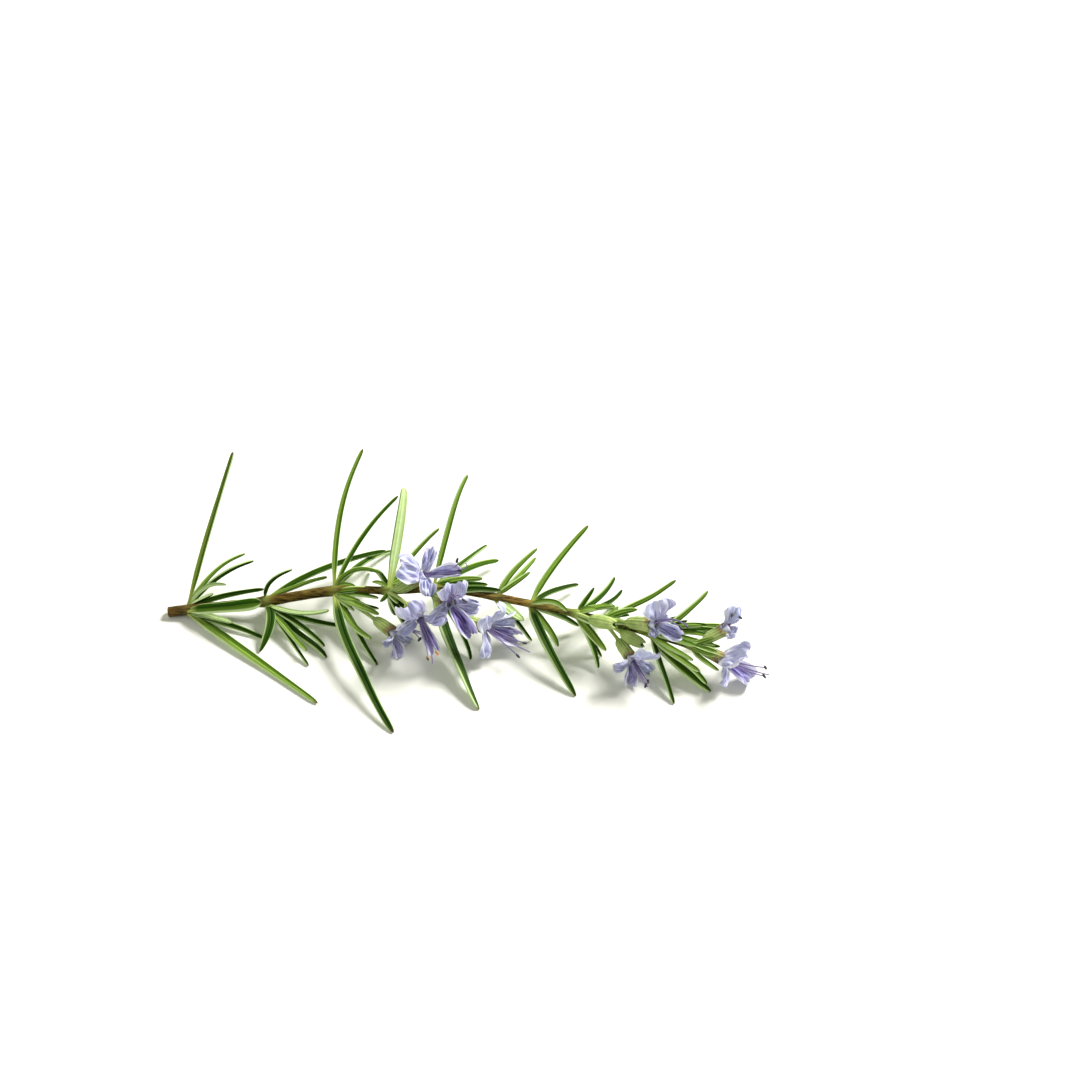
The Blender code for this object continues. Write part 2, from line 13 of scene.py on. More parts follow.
import bpy
import numpy as np
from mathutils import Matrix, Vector


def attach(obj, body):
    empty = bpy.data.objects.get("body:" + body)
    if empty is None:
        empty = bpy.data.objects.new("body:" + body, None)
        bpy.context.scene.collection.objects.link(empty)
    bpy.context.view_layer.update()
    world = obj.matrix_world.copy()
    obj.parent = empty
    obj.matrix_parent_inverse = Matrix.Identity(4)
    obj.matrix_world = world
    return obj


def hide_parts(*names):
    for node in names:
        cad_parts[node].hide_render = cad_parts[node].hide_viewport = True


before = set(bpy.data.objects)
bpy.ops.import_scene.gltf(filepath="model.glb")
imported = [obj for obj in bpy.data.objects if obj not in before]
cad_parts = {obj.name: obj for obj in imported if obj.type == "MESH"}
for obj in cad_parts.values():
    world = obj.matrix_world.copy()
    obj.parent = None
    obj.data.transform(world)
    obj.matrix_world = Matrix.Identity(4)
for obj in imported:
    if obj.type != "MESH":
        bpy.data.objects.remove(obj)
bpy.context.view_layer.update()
LOG = logging.getLogger("rosemary")

Array, Draw, Material, Socket = (np.ndarray, np.random.Generator, bpy.types.Material,
                                 bpy.types.NodeSocket)
Triple = tuple[float, float, float]
Colour = tuple[float, float, float, float]

MM = 0.001
SEED, LOOK_SEED = 7, 23
SET_DOWN = np.array((0.9, -1.8, 0.0))
UP = np.array((0.0, 0.0, 1.0))
# The lowest that a piece comes, where petals start to bend along the surface, and how
# softly, mm
LOWEST, REST, SOFT = 0.02, 0.2, 0.35

# The stem, from the cut end to the shoot tip: place of its middle and its thickness, mm, and
# how pale and swollen it is there
STATIONS = {
    "cut": ((-78.3, 4.2, 1.2), 2.7, 0.0),
    "whorl_0": ((-73.0, 4.4, 2.0), 2.8, 0.12),
    "below_1": ((-62.0, 4.8, 3.3), 2.5, 0.0),
    "whorl_1": ((-52.5, 5.1, 4.6), 2.7, 0.6),
    "below_2": ((-43.0, 6.0, 6.0), 2.6, 0.0),
    "whorl_2": ((-34.2, 6.3, 7.6), 2.6, 0.3),
    "below_3": ((-27.0, 5.6, 8.8), 2.0, 0.0),
    "whorl_3": ((-19.9, 4.7, 9.6), 2.1, 0.95),
    "whorl_4": ((-8.1, 4.6, 10.6), 2.0, 0.6),
    "below_5": ((0.5, 3.4, 10.7), 1.9, 0.0),
    "whorl_5": ((8.3, 1.8, 10.4), 2.0, 0.2),
    "whorl_6": ((17.2, -0.1, 10.0), 1.9, 0.2),
    "whorl_7": ((29.1, -2.9, 9.4), 1.8, 0.9),
    "whorl_8": ((36.3, -4.9, 9.0), 1.7, 0.9),
    "whorl_9": ((48.4, -8.6, 8.2), 1.6, 0.8),
    "shoot_tip": ((58.6, -12.3, 7.6), 1.3, 0.6),
    "end": ((60.6, -13.0, 7.5), 0.9, 0.3),
}


class Face(Enum):
    """The way the upper side of a leaf looks."""
    SKY = (0.15, -0.25, 1.0)
    FRONT = (0.1, -0.77, 0.64)
    BACK = (-0.1, 0.77, -0.64)
    TIP = (1.0, -0.1, 0.3)
    LEAN = (0.35, -0.2, 0.9)
    UNDER = (-0.15, 0.25, -1.0)


class Tone(Enum):
    """How old and how green a leaf is, from the darkest to the palest and the yellowing. The tone
    also holds painted light: leaves that lie in shade are given darker tones, lit ones paler.
    """
    DEEP = 0.0
    GREEN = 0.25
    BRIGHT = 0.5
    FRESH = 0.75
    OLIVE = 1.0


class LobeKind(Enum):
    """Which lobe of the flower a petal is, as its painted value."""
    UPPER = 0.0
    SIDE = 0.5
    LOWER = 1.0


@dataclass(frozen=True)
class Leaf:
    """One needle leaf: where its tip is from its whorl and how its middle bows, mm, how wide it
    is, mm, how it lies, how green it is and how much narrower it gets towards its end."""
    tip: Triple
    bow: Triple
    width: float
    face: Face
    tone: Tone
    taper: float = 0.3

    @classmethod
    def read(cls, row: str) -> "Leaf":
        """A leaf from a row of text.

        Args:
            row: Its tip, bow and width, its taper if that isn't the usual one, then the names
                of its face and its tone.

        Returns:
            The leaf.
        """
        *numbers, face, tone = row.split()
        values = [float(number) for number in numbers]
        return cls(tuple(values[:3]), tuple(values[3:6]), values[6], Face[face], Tone[tone],
                   *values[7:])


@dataclass(frozen=True)
class Lobe:
    """One petal lobe: how it turns round the tube, its size, mm, its opening angles, how wide
    its foot is and how far that runs, and how it is notched, hollowed and ruffled."""
    turn: float
    length: float
    width: float
    open_from: float
    open_to: float
    kind: LobeKind
    claw: float = 0.5
    notch: float = 0.0
    cup: float = 0.5
    ruffle: float = 0.4
    stalk: float = 0.0


UPPER = Lobe(0.0, 8.4, 7.4, 22.0, 108.0, LobeKind.UPPER, claw=0.3, notch=0.28, cup=-0.9,
             ruffle=0.55)
LEFT = Lobe(105.0, 6.6, 3.2, 30.0, 104.0, LobeKind.SIDE)
RIGHT = replace(LEFT, turn=-105.0)
LOWER = Lobe(180.0, 8.6, 5.4, 35.0, 84.0, LobeKind.LOWER, claw=0.3, notch=0.12, cup=2.2,
             ruffle=0.35)
FAN = replace(UPPER, claw=0.13, width=9.4, length=7.8, notch=0.02, cup=0.0, ruffle=0.06,
              stalk=0.22)
LIP = replace(LOWER, width=4.2, length=7.8, cup=2.8)


@dataclass(frozen=True)
class Flower:
    """A calyx and its flower tube, from foot to mouth from the whorl, mm, how it opens, how
    big its calyx is, how deep its violet is, how far its stamens reach and rise, and their
    pollen. One without a number has no petals."""
    foot: Triple
    mouth: Triple
    number: int = 0
    facing: Triple = (0.3, -0.8, 0.4)
    upward: Triple = (0.0, 0.6, 0.8)
    size: float = 1.0
    hood: float = 108.0
    lobes: tuple[Lobe, ...] = (UPPER, LEFT, RIGHT, LOWER)
    bell: float = 1.0
    deep: float = 0.5
    reach: float = 1.0
    rise: float = 1.0
    pollen: float = 0.0

    def ends(self, place: Array) -> tuple[Array, Array]:
        """The mouth of the tube, mm, and the way from its foot to its mouth."""
        mouth = place + np.array(self.mouth)
        return mouth, mouth - (place + np.array(self.foot))


# The leaves of each whorl and then the young leaves in its axils: tip and bow from the whorl,
# mm, width, mm, taper where it isn't the usual one, face and tone
LEAVES = {
    "whorl_0": """
    12 30 28.7  -0.2 0.3 0.3  1.6  FRONT OLIVE
    14.5 13.6 6.7  -1.5 1 1  1.3  FRONT BRIGHT
    16.5 13.6 3.7  -0.5 1.5 1  1.4  FRONT DEEP
    10 4.6 4.7  -0.5 1.5 1.5  1.2  BACK BRIGHT
    6.5 3.2 2.7  0 0 0  1.1  TIP DEEP
    35.5 -29.4 -1.5  -0.3 0.5 0  2.6 0.45  SKY BRIGHT
    20.5 -8.5 -1.5  0 0.5 0.3  1.7  SKY DEEP
    12 -5 0.7  0 0 0.5  1.8  UNDER FRESH
    20 -3.7 7.6  -0.2 -0.6 0.4  3 -0.3  SKY GREEN
    19.6 5.5 1.8  0 1 0  1.6  SKY DEEP
    """,
    "whorl_1": """
    -1 -13.5 -4.1  2 1.2 1.5  2.7  SKY DEEP
    7.5 3 9.5  -2 0.5 0.5  1.2  FRONT DEEP
    17 -5 2.5  0.5 -1.5 -0.5  1.4  UNDER FRESH
    11.5 -15 -1.5  1 -1 -1  1.6  SKY FRESH
    16.5 -15.5 -4.1  2 -1 -1  2.2  LEAN DEEP
    16 -13.4 -2  2 -0.5 0  1.6  SKY DEEP
    12 -18 -4.2  0 0 0  1.2  SKY DEEP
    20.5 -5.5 -3.5  -0.5 -0.5 -0.5  1.6  SKY DEEP
    31 16 1.5  0.5 2.5 0.5  1.8  SKY GREEN
    16 5.5 3.4  1 1 0  1.2  SKY FRESH
    """,
    "whorl_2": """
    7 31.5 20.5  -2.4 0.3 0.3  1.6  FRONT BRIGHT
    16 25.5 8.5  -1.5 0.8 0.4  1.4  FRONT GREEN
    16.5 -40.5 -7.2  -2.8 1 1.5  2.7  LEAN DEEP
    10 -14 -2.5  -0.5 -1 -1  1.9  SKY FRESH
    11.5 -19 -7.2  0 0 0  1.6  SKY DEEP
    12.6 2.8 3.6  -1 2 2  1.4  SKY BRIGHT
    11.5 -3.6 -3  0 -0.5 0  1.2  SKY DEEP
    14 19.5 -7.2  0 1.5 1.5  1.6  SKY GREEN
    5.5 0.4 1.2  0 0.4 0.6  1.3  SKY FRESH
    8.6 -1.6 0.6  0 -0.4 0.5  1.4  SKY BRIGHT
    6.8 -3.6 0.2  0 -0.4 0.5  1.5  SKY FRESH
    9.8 -5.4 -0.6  0 -0.4 0.6  1.5  SKY OLIVE
    11.6 -3.4 1.2  0 0.4 0.3  1.3  SKY GREEN
    5.2 -5.6 -1.4  0 -0.4 0.3  1.3  SKY BRIGHT
    11.8 -7.6 -0.4  0 -0.4 0.5  2  SKY FRESH
    9 -0.8 1.8  0 0 0.5  1.8  SKY BRIGHT
    """,
    "whorl_3": """
    3.5 24.5 12.5  1 3.5 3  2.7  BACK FRESH
    13 14.5 8  -0.5 1 0  1.4  FRONT BRIGHT
    1.5 -3 -6.5  0 -1 0  1.6  SKY DEEP
    5 -6 -9.3  0 -1 1  1.8  SKY DEEP
    -6 14 -9.2  0 1 2  1.6  SKY DEEP
    -4.4 1.6 1.6  0 0.3 0.5  1.2  SKY FRESH
    4.6 3.4 1  0 0.3 0.4  1.4  SKY FRESH
    -2.2 -3.2 -0.6  0 -0.3 0.2  1.2  SKY BRIGHT
    6.6 1 1.4  0 0.2 0.4  1.6  SKY OLIVE
    2.6 -4.4 0.2  0 -0.2 0.4  1.5  SKY OLIVE
    3.6 -6.8 -2.6  0 -0.4 0.4  2  SKY DEEP
    7 -5.6 -3.2  0 -0.4 0.4  2  SKY DEEP
    """,
    "whorl_4": """
    8.5 27.5 13.5  0 2.5 2  1.6  FRONT BRIGHT
    12 -31.5 -10.3  -0.5 -0.5 -0.5  3.4  LEAN DEEP
    9.5 -15.5 -10.2  2.5 -1.5 -1  1.4  SKY DEEP
    16.5 16.5 -8.5  0 1 1  1.9  SKY GREEN
    13.5 18.5 -4.5  0 0 1  1.4  SKY GREEN
    12 5.5 -2.5  0 1 0  1.4  BACK BRIGHT
    6.4 3 1  0 0.3 0.4  1.4  SKY FRESH
    8.6 0.6 0.8  0 0.2 0.6  1.5  SKY OLIVE
    4.6 -3.6 -1.4  0 -0.3 0.3  1.4  SKY BRIGHT
    7.4 -4.8 -2.2  0 -0.3 0.3  1.5  SKY OLIVE
    2 -6.4 -4  0 -0.4 0.4  2  SKY DEEP
    10 -3.4 -2.6  0 -0.2 0.4  1.8  SKY DEEP
    17.4 -1.6 1.2  0 -0.2 0.6  2  SKY DEEP
    12.6 1.8 1.8  0 0.4 0.6  2  SKY FRESH
    14 0.2 1.4  0 0 0.5  1.8  SKY GREEN
    """,
    "whorl_5": """
    10.5 12 5.5  -0.7 0.3 0.3  1.6  FRONT BRIGHT
    10 15.5 -2.5  0.5 0 0  1.6  FRONT BRIGHT
    8.6 6.4 2.6  0.5 0 0.5  1.4  FRONT BRIGHT
    7 -5.4 -2.9  0 -0.7 0.7  2.9  UNDER FRESH
    9 -6.5 -10.1  0 0 1  1.4  SKY DEEP
    """,
    "whorl_6": """
    15 20 8  -1.5 -0.3 -0.3  1.8  FRONT BRIGHT
    12.5 13 -8  0 0.5 1  1.6  SKY DEEP
    11.5 -22.5 -9.7  -2 2 1.5  2.7  LEAN DEEP
    7 -8.5 -7  1 -0.5 0  1.9  SKY BRIGHT
    12.5 -1 -8  0 0 1  1.9  SKY DEEP
    9.4 -5 3.2  0.5 1 1.4  1.6  SKY BRIGHT
    """,
    "whorl_7": """
    4.5 6 3.5  0 0 0  1.4  FRONT GREEN
    10 13.5 -1.5  1.5 0 0  1.6  FRONT GREEN
    12 11.6 -4.5  1.5 -0.5 -0.5  1.4  SKY DEEP
    7.4 -10 -2.5  0 0 0  2.4  FRONT FRESH
    5.5 -11.5 -8  1 0 0  1.6  SKY GREEN
    6.4 -7 -9.1  0 0 0  1.4  SKY DEEP
    9.8 1.2 1.4  0 0.2 0.5  1.6  SKY FRESH
    8.6 2.4 0.6  0 0.2 0.4  1.4  SKY BRIGHT
    5 0.2 1.6  0 0.1 0.5  2  SKY FRESH
    4.8 -3.8 0.4  0 -0.2 0.6  2  SKY FRESH
    """,
    "whorl_8": """
    18.5 9.5 5  0.5 -0.2 -0.2  1.5  FRONT BRIGHT
    3.5 4 1  0 0 0  2.2  FRONT FRESH
    6.5 3.5 -2  0 0.5 0  1.2  FRONT GREEN
    2 12 -8.7  1 0 2  1.5  SKY DEEP
    8.4 2.2 2  0 0.3 0.5  1.8  SKY BRIGHT
    5.6 -1.8 1.2  0 -0.1 0.6  2.2  SKY FRESH
    7.6 -2.6 -1.2  0 -0.2 0.4  1.8  SKY BRIGHT
    """,
    "whorl_9": """
    14.5 9.5 6  1.2 -0.4 -0.4  1.6  FRONT BRIGHT
    5.5 -16.5 -7.9  0 0 0  1.6  LEAN DEEP
    15 -12.5 -7.9  0 -0.5 -0.5  3  SKY GREEN
    14 -12 -5.4  1 0 0  1.9  SKY GREEN
    12 -10.5 -2  0 -0.5 0  1.9  SKY BRIGHT
    9 0.5 5  0 0 0.5  1.2  FRONT GREEN
    18.6 5.4 -3.2  0 0.5 0.5  1.6  FRONT BRIGHT
    16.6 3.6 -4.4  0 0.5 0  1.4  SKY GREEN
    8 11 -7.9  1 1 1.5  1.5  SKY DEEP
    15.6 -1.2 0.6  0 0.4 0.8  1.6  SKY BRIGHT
    13.2 -4.4 -0.4  0 -0.2 0.6  1.7  SKY BRIGHT
    14.4 2.2 1  0 0.5 0.6  1.6  SKY GREEN
    10.4 -7.4 -1.4  0 -0.4 0.4  1.6  SKY FRESH
    17.6 1.2 0.4  0 0.4 0.6  1.5  SKY GREEN
    16.4 -3.2 -0.6  0 0 0.6  1.5  SKY BRIGHT
    12.8 0.6 2.6  0 0.2 0.8  1.5  SKY FRESH
    """,
    "shoot_tip": """
    7.5 2 -2.5  0 0.5 0  1.4  SKY BRIGHT
    6 -4.5 2.5  0 -0.5 0  1.4  FRONT FRESH
    6.8 -5.6 -2.6  0 -0.5 0  1.4  SKY BRIGHT
    5.6 1.4 2  0 0.2 0.2  1.5  SKY FRESH
    6.2 -2.6 1.6  0 -0.2 0.2  1.6  SKY FRESH
    """,
}

# The calyces of each whorl, with the flowers that some of them hold
FLOWERS = {
    "whorl_2": [
        Flower((9.9, -7.8, -1.3), (16.3, -12.4, -2.8), 1,
               (0.6, -0.6, 0.0), (0.6, 0.2, 0.8), 0.95,
               lobes=(UPPER, LEFT, RIGHT, replace(LIP, length=6.6)), deep=0.35),
    ],
    "whorl_3": [
        Flower((3.0, -0.5, 1.6), (9.3, 1.2, 5.2), 2,
               (0.2, -0.3, 0.9), (-1.0, 0.0, 0.1), 1.12, 92.0,
               (replace(UPPER, width=8.4, notch=0.14, ruffle=0.8), replace(LEFT, width=3.8), RIGHT,
                replace(LIP, length=9.4, width=3.6, ruffle=0.6)), 1.25, 0.5, 1.0, -1.7),
        Flower((3.8, -3.9, 1.4), (8.6, -11.8, 2.9), 4,
               (0.18, -0.9, 0.16), (-0.35, 0.4, 0.8), 1.04, 104.0,
               (replace(UPPER, length=10.6, width=8.0, notch=0.1, cup=-2.4, claw=0.4),
                replace(LEFT, length=6.4, turn=92.0), replace(RIGHT, turn=-92.0, width=4.2),
                replace(LIP, turn=186.0, length=9.0, width=3.6)), 1.0, 0.9, 1.15, -1.0,
               pollen=1.0),
    ],
    "whorl_4": [
        Flower((-0.4, -3.2, 1.7), (4.4, -8.8, 4.6), 3,
               (0.35, -0.8, 0.4), (-0.2, 0.6, 0.8), 1.16, 98.0,
               (replace(UPPER, ruffle=0.8, notch=0.2), replace(LEFT, width=4.2),
                replace(RIGHT, width=4.2),
                replace(LOWER, turn=204.0, width=4.0, cup=3.0, notch=0.03, ruffle=0.1)),
               deep=1.0),
        Flower((7.4, -8.2, -2.0), (13.9, -11.2, -2.4), 5,
               (0.7, -0.6, 0.1), (-0.9, 0.45, 0.35), 1.2,
               lobes=(replace(UPPER, turn=-22.0, width=8.8, ruffle=0.8), replace(LEFT, width=4.4),
                      replace(RIGHT, turn=-126.0, length=7.8, width=4.8),
                      replace(LIP, turn=198.0, length=8.0, width=4.2)),
               deep=0.6, reach=1.02, rise=-0.7),
    ],
    "whorl_7": [
        Flower((3.2, -3.0, 1.6), (10.8, -6.8, 3.8), bell=1.22),
    ],
    "whorl_8": [
        Flower((4.4, -1.6, 1.8), (12.8, -4.9, 4.6), 6,
               (0.5, -0.7, 0.45), (-0.3, 0.7, 0.7), 1.1,
               lobes=(FAN, replace(LEFT, length=2.6, turn=150.0),
                      replace(RIGHT, length=3.6, turn=-75.0),
                      replace(LIP, turn=232.0, open_from=14.0, open_to=50.0, width=3.8)),
               bell=1.15, deep=0.3, reach=1.45, rise=0.8),
        Flower((2.1, -2.5, -1.8), (7.1, -10.4, -3.4), 7,
               (0.35, -0.75, 0.05), (0.35, 0.5, 0.8), 1.02, 74.0,
               (replace(UPPER, width=8.4, notch=0.1, cup=-1.6), replace(LEFT, width=4.2),
                replace(RIGHT, width=4.2), replace(LIP, length=6.4, width=4.8)), deep=0.4,
               rise=-0.1),
        Flower((4.4, -3.6, -0.6), (10.8, -7.8, -0.8), bell=1.1),
    ],
    "shoot_tip": [
        Flower((2.7, 0.0, -1.0), (8.5, -2.8, -1.8), 8,
               (0.8, -0.4, 0.2), (0.1, -0.1, 1.0), 1.1, 42.0,
               (replace(UPPER, claw=0.5, notch=0.1, cup=-0.5, length=9.0, width=8.8),
                replace(LEFT, length=6.4, width=3.6), replace(RIGHT, length=6.6),
                replace(LIP, open_from=26.0, open_to=64.0, length=8.6, width=5.4)), deep=0.6,
               reach=1.15, rise=-0.35),
        Flower((3.2, 1.8, 0.6), (9.4, 4.3, 2.4), 9,
               (0.45, -0.6, 0.6), (0.15, 0.75, 0.65), 0.8, 96.0,
               (replace(UPPER, width=7.0, notch=0.08, cup=-0.8, claw=0.4),
                replace(LEFT, length=2.6), replace(RIGHT, length=3.0),
                replace(LIP, length=3.4, width=3.0)), deep=0.1, reach=0.4),
    ],
}


def srgb(red: int, green: int, blue: int) -> Colour:
    """A colour in 0 to 255 display values, as the linear values that a shader takes.

    Args:
        red, green, blue: The display values.

    Returns:
        Linear red, green, blue and an alpha of one.
    """
    shares = np.array((red, green, blue)) / 255.0
    linear = np.where(shares <= 0.04045, shares / 12.92, ((shares + 0.055) / 1.055) ** 2.4)
    return (*map(float, linear), 1.0)


def unit(rows: Array) -> Array:
    """Vectors shortened or stretched to a length of one."""
    return rows / np.linalg.norm(rows, axis=-1, keepdims=True)


def turns(around: int) -> Array:
    """Even steps round a full turn, radians."""
    return np.arange(around) / around * 2 * math.pi


def smooth(values: Array, start: float, stop: float) -> Array:
    """A soft step: 0 before start, 1 past stop, and 3t^2 - 2t^3 between them."""
    share = np.clip((values - start) / (stop - start), 0.0, 1.0)
    return share * share * (3.0 - 2.0 * share)


def settle(points: Array) -> Array:
    """Points that come near the surface, bent away so that they lie along it.

    A height z becomes REST + SOFT log(1 + e^((z - REST) / SOFT)), which is z where it is high
    and nears REST where it would be low.

    Args:
        points: Points, mm, heights last.

    Returns:
        The points with their new heights.
    """
    settled = points.copy()
    settled[..., 2] = REST + SOFT * np.logaddexp(0.0, (points[..., 2] - REST) / SOFT)
    return settled


def carried(line: Array, side: Array, upward: Array, x: Array, y: Array) -> Array:
    """Rings carried along a line: line + side x + upward y, by ring and place in the ring."""
    return line[:, None, :] + side[:, None, :] * x[..., None] + upward[:, None, :] * y[..., None]


def revolved(radii: Array, angle: Array, heights: Array) -> Array:
    """Rings of points (r cos a, r sin a, h), by ring and place in the ring."""
    return np.stack((radii * np.cos(angle), radii * np.sin(angle),
                     np.broadcast_to(heights, radii.shape)), axis=-1)


def painted(shape: tuple[int, ...], *channels: Array | float) -> Array:
    """Up to four painted values, spread over a grid of points."""
    made = np.zeros((*shape, 4))
    for number, channel in enumerate(channels):
        made[..., number] = channel
    return made


def added(name: str, data: bpy.types.ID) -> bpy.types.Object:
    """A new object of the scene, made of a mesh, a light or a camera."""
    made = bpy.data.objects.new(name, data)
    bpy.context.scene.collection.objects.link(made)
    return made


@dataclass(frozen=True)
class Place:
    """A frame in space: an origin, mm, and three axes as rows."""
    origin: Array
    axes: Array

    @classmethod
    def looking(cls, origin: Array, along: Array, upward: Array) -> "Place":
        """A frame whose Z runs along a direction and whose Y is nearest upward.

        Args:
            origin: The frame's origin, mm.
            along: The direction of Z, of any length.
            upward: The direction that Y comes as near to as it can.

        Returns:
            The frame.
        """
        z_axis = unit(np.asarray(along, float))
        y_axis = unit(upward - z_axis * (upward @ z_axis))
        return cls(np.asarray(origin, float), np.array((np.cross(y_axis, z_axis), y_axis, z_axis)))

    def put(self, points: Array) -> Array:
        """Points of this frame, in the sprig's own frame."""
        return points @ self.axes + self.origin


@dataclass
class Skin:
    """The points, faces and painted values of one piece, gathered shape by shape."""
    points: list[Array] = field(default_factory=list)
    paint: list[Array] = field(default_factory=list)
    quads: list[Array] = field(default_factory=list)
    triangles: list[Array] = field(default_factory=list)
    count: int = 0

    def add(self, points: Array, paint: Array, quads: Array, triangles: Array) -> None:
        """Add one shape.

        Args:
            points: Its points, mm, one row each.
            paint: Four painted values for each point.
            quads: Its four-cornered faces, as indexes of points.
            triangles: Its three-cornered faces, as indexes of points.
        """
        self.points.append(points)
        self.paint.append(paint)
        self.quads.append(quads + self.count)
        self.triangles.append(triangles + self.count)
        self.count += len(points)

    def rings(self, rings: Array, paint: Array) -> None:
        """Add a closed shape made of rings of points, each turning left seen from its end.

        The faces join each ring to the next, and a fan to the middle of the first and of the
        last ring closes the two ends.

        Args:
            rings: Points by ring, place in the ring and axis, mm.
            paint: Painted values by ring, place in the ring and channel.
        """
        count, around = rings.shape[:2]
        index = np.arange(count * around).reshape(count, around)
        beside = np.roll(index, -1, axis=1)
        quads = np.stack((index[:-1], beside[:-1], beside[1:], index[1:]), axis=-1)
        root = np.full(around, count * around)
        root_fan = np.stack((beside[0], index[0], root), axis=-1)
        tip_fan = np.stack((index[-1], beside[-1], root + 1), axis=-1)
        points = np.concatenate((rings.reshape(-1, 3), rings[[0, -1]].mean(axis=1)))
        values = np.concatenate((paint.reshape(-1, 4), paint[[0, -1]].mean(axis=1)))
        self.add(points, values, quads.reshape(-1, 4), np.concatenate((root_fan, tip_fan)))

    def slab(self, grid: Array, paint: Array, thickness: Array) -> None:
        """Add a thin sheet: a grid moved half its thickness to each side, closed at its rim.

        Args:
            grid: Points by row, column and axis, mm, whose rows cross columns turning left.
            paint: Painted values by row, column and channel.
            thickness: The sheet's thickness at each point, mm.
        """
        grid = settle(grid)
        normal = unit(np.cross(np.gradient(grid, axis=1), np.gradient(grid, axis=0)))
        offset = normal * thickness[..., None] / 2
        index = np.arange(thickness.size).reshape(thickness.shape)
        front = np.stack((index[:-1, :-1], index[:-1, 1:], index[1:, 1:], index[1:, :-1]), axis=-1)
        front = front.reshape(-1, 4)
        rim = np.concatenate((index[0, :-1], index[:-1, -1], index[-1, :0:-1], index[:0:-1, 0]))
        after = np.roll(rim, -1)
        edge = np.stack((rim, rim + index.size, after + index.size, after), axis=-1)
        points = np.concatenate(((grid + offset).reshape(-1, 3), (grid - offset).reshape(-1, 3)))
        quads = np.concatenate((front, front[:, ::-1] + index.size, edge))
        self.add(points, np.tile(paint.reshape(-1, 4), (2, 1)), quads, np.zeros((0, 3), int))

    def tube(self, line: Array, radii: Array, around: int, paint: Colour) -> None:
        """Add a round tapered tube: a circle of the given radius carried along a line.

        Args:
            line: Points of its middle line, mm.
            radii: Its radius at each point, mm.
            around: How many points go round it.
            paint: Its painted values.
        """
        tangent = unit(np.gradient(line, axis=0))
        hint = UP if abs(tangent[0][2]) < 0.9 else np.array((1.0, 0.0, 0.0))
        side = unit(np.cross(hint, tangent))
        angle, radii = turns(around), radii[:, None]
        rings = carried(line, side, np.cross(tangent, side), np.cos(angle) * radii,
                        np.sin(angle) * radii)
        self.rings(rings, painted(rings.shape[:2], *paint))

    def piece(self, name: str, finish: Material, slot: str, *nodes: str) -> None:
        """Make the piece's mesh and object, hang it from the root body and hide the solids that it
        stands for.

        Args:
            name: The piece's name.
            finish: Its material.
            slot: A material slot name; not used.
            nodes: The solids that it stands for.
        """
        points = np.concatenate(self.points)
        points[:, 2] = np.maximum(points[:, 2], LOWEST)
        quads, triangles = np.concatenate(self.quads), np.concatenate(self.triangles)
        mesh = bpy.data.meshes.new(name)
        mesh.from_pydata(points * MM, [], quads.tolist() + triangles.tolist())
        paint = mesh.attributes.new("paint", "FLOAT_COLOR", "POINT")
        paint.data.foreach_set("color", np.concatenate(self.paint).astype(np.float32).ravel())
        mesh.shade_smooth()
        mesh.materials.append(finish)
        made = added(name, mesh)
        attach(made, "root")
        if nodes:
            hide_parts(*nodes)
        LOG.info("%s: %d points, %d faces", name, len(points), len(quads) + len(triangles))


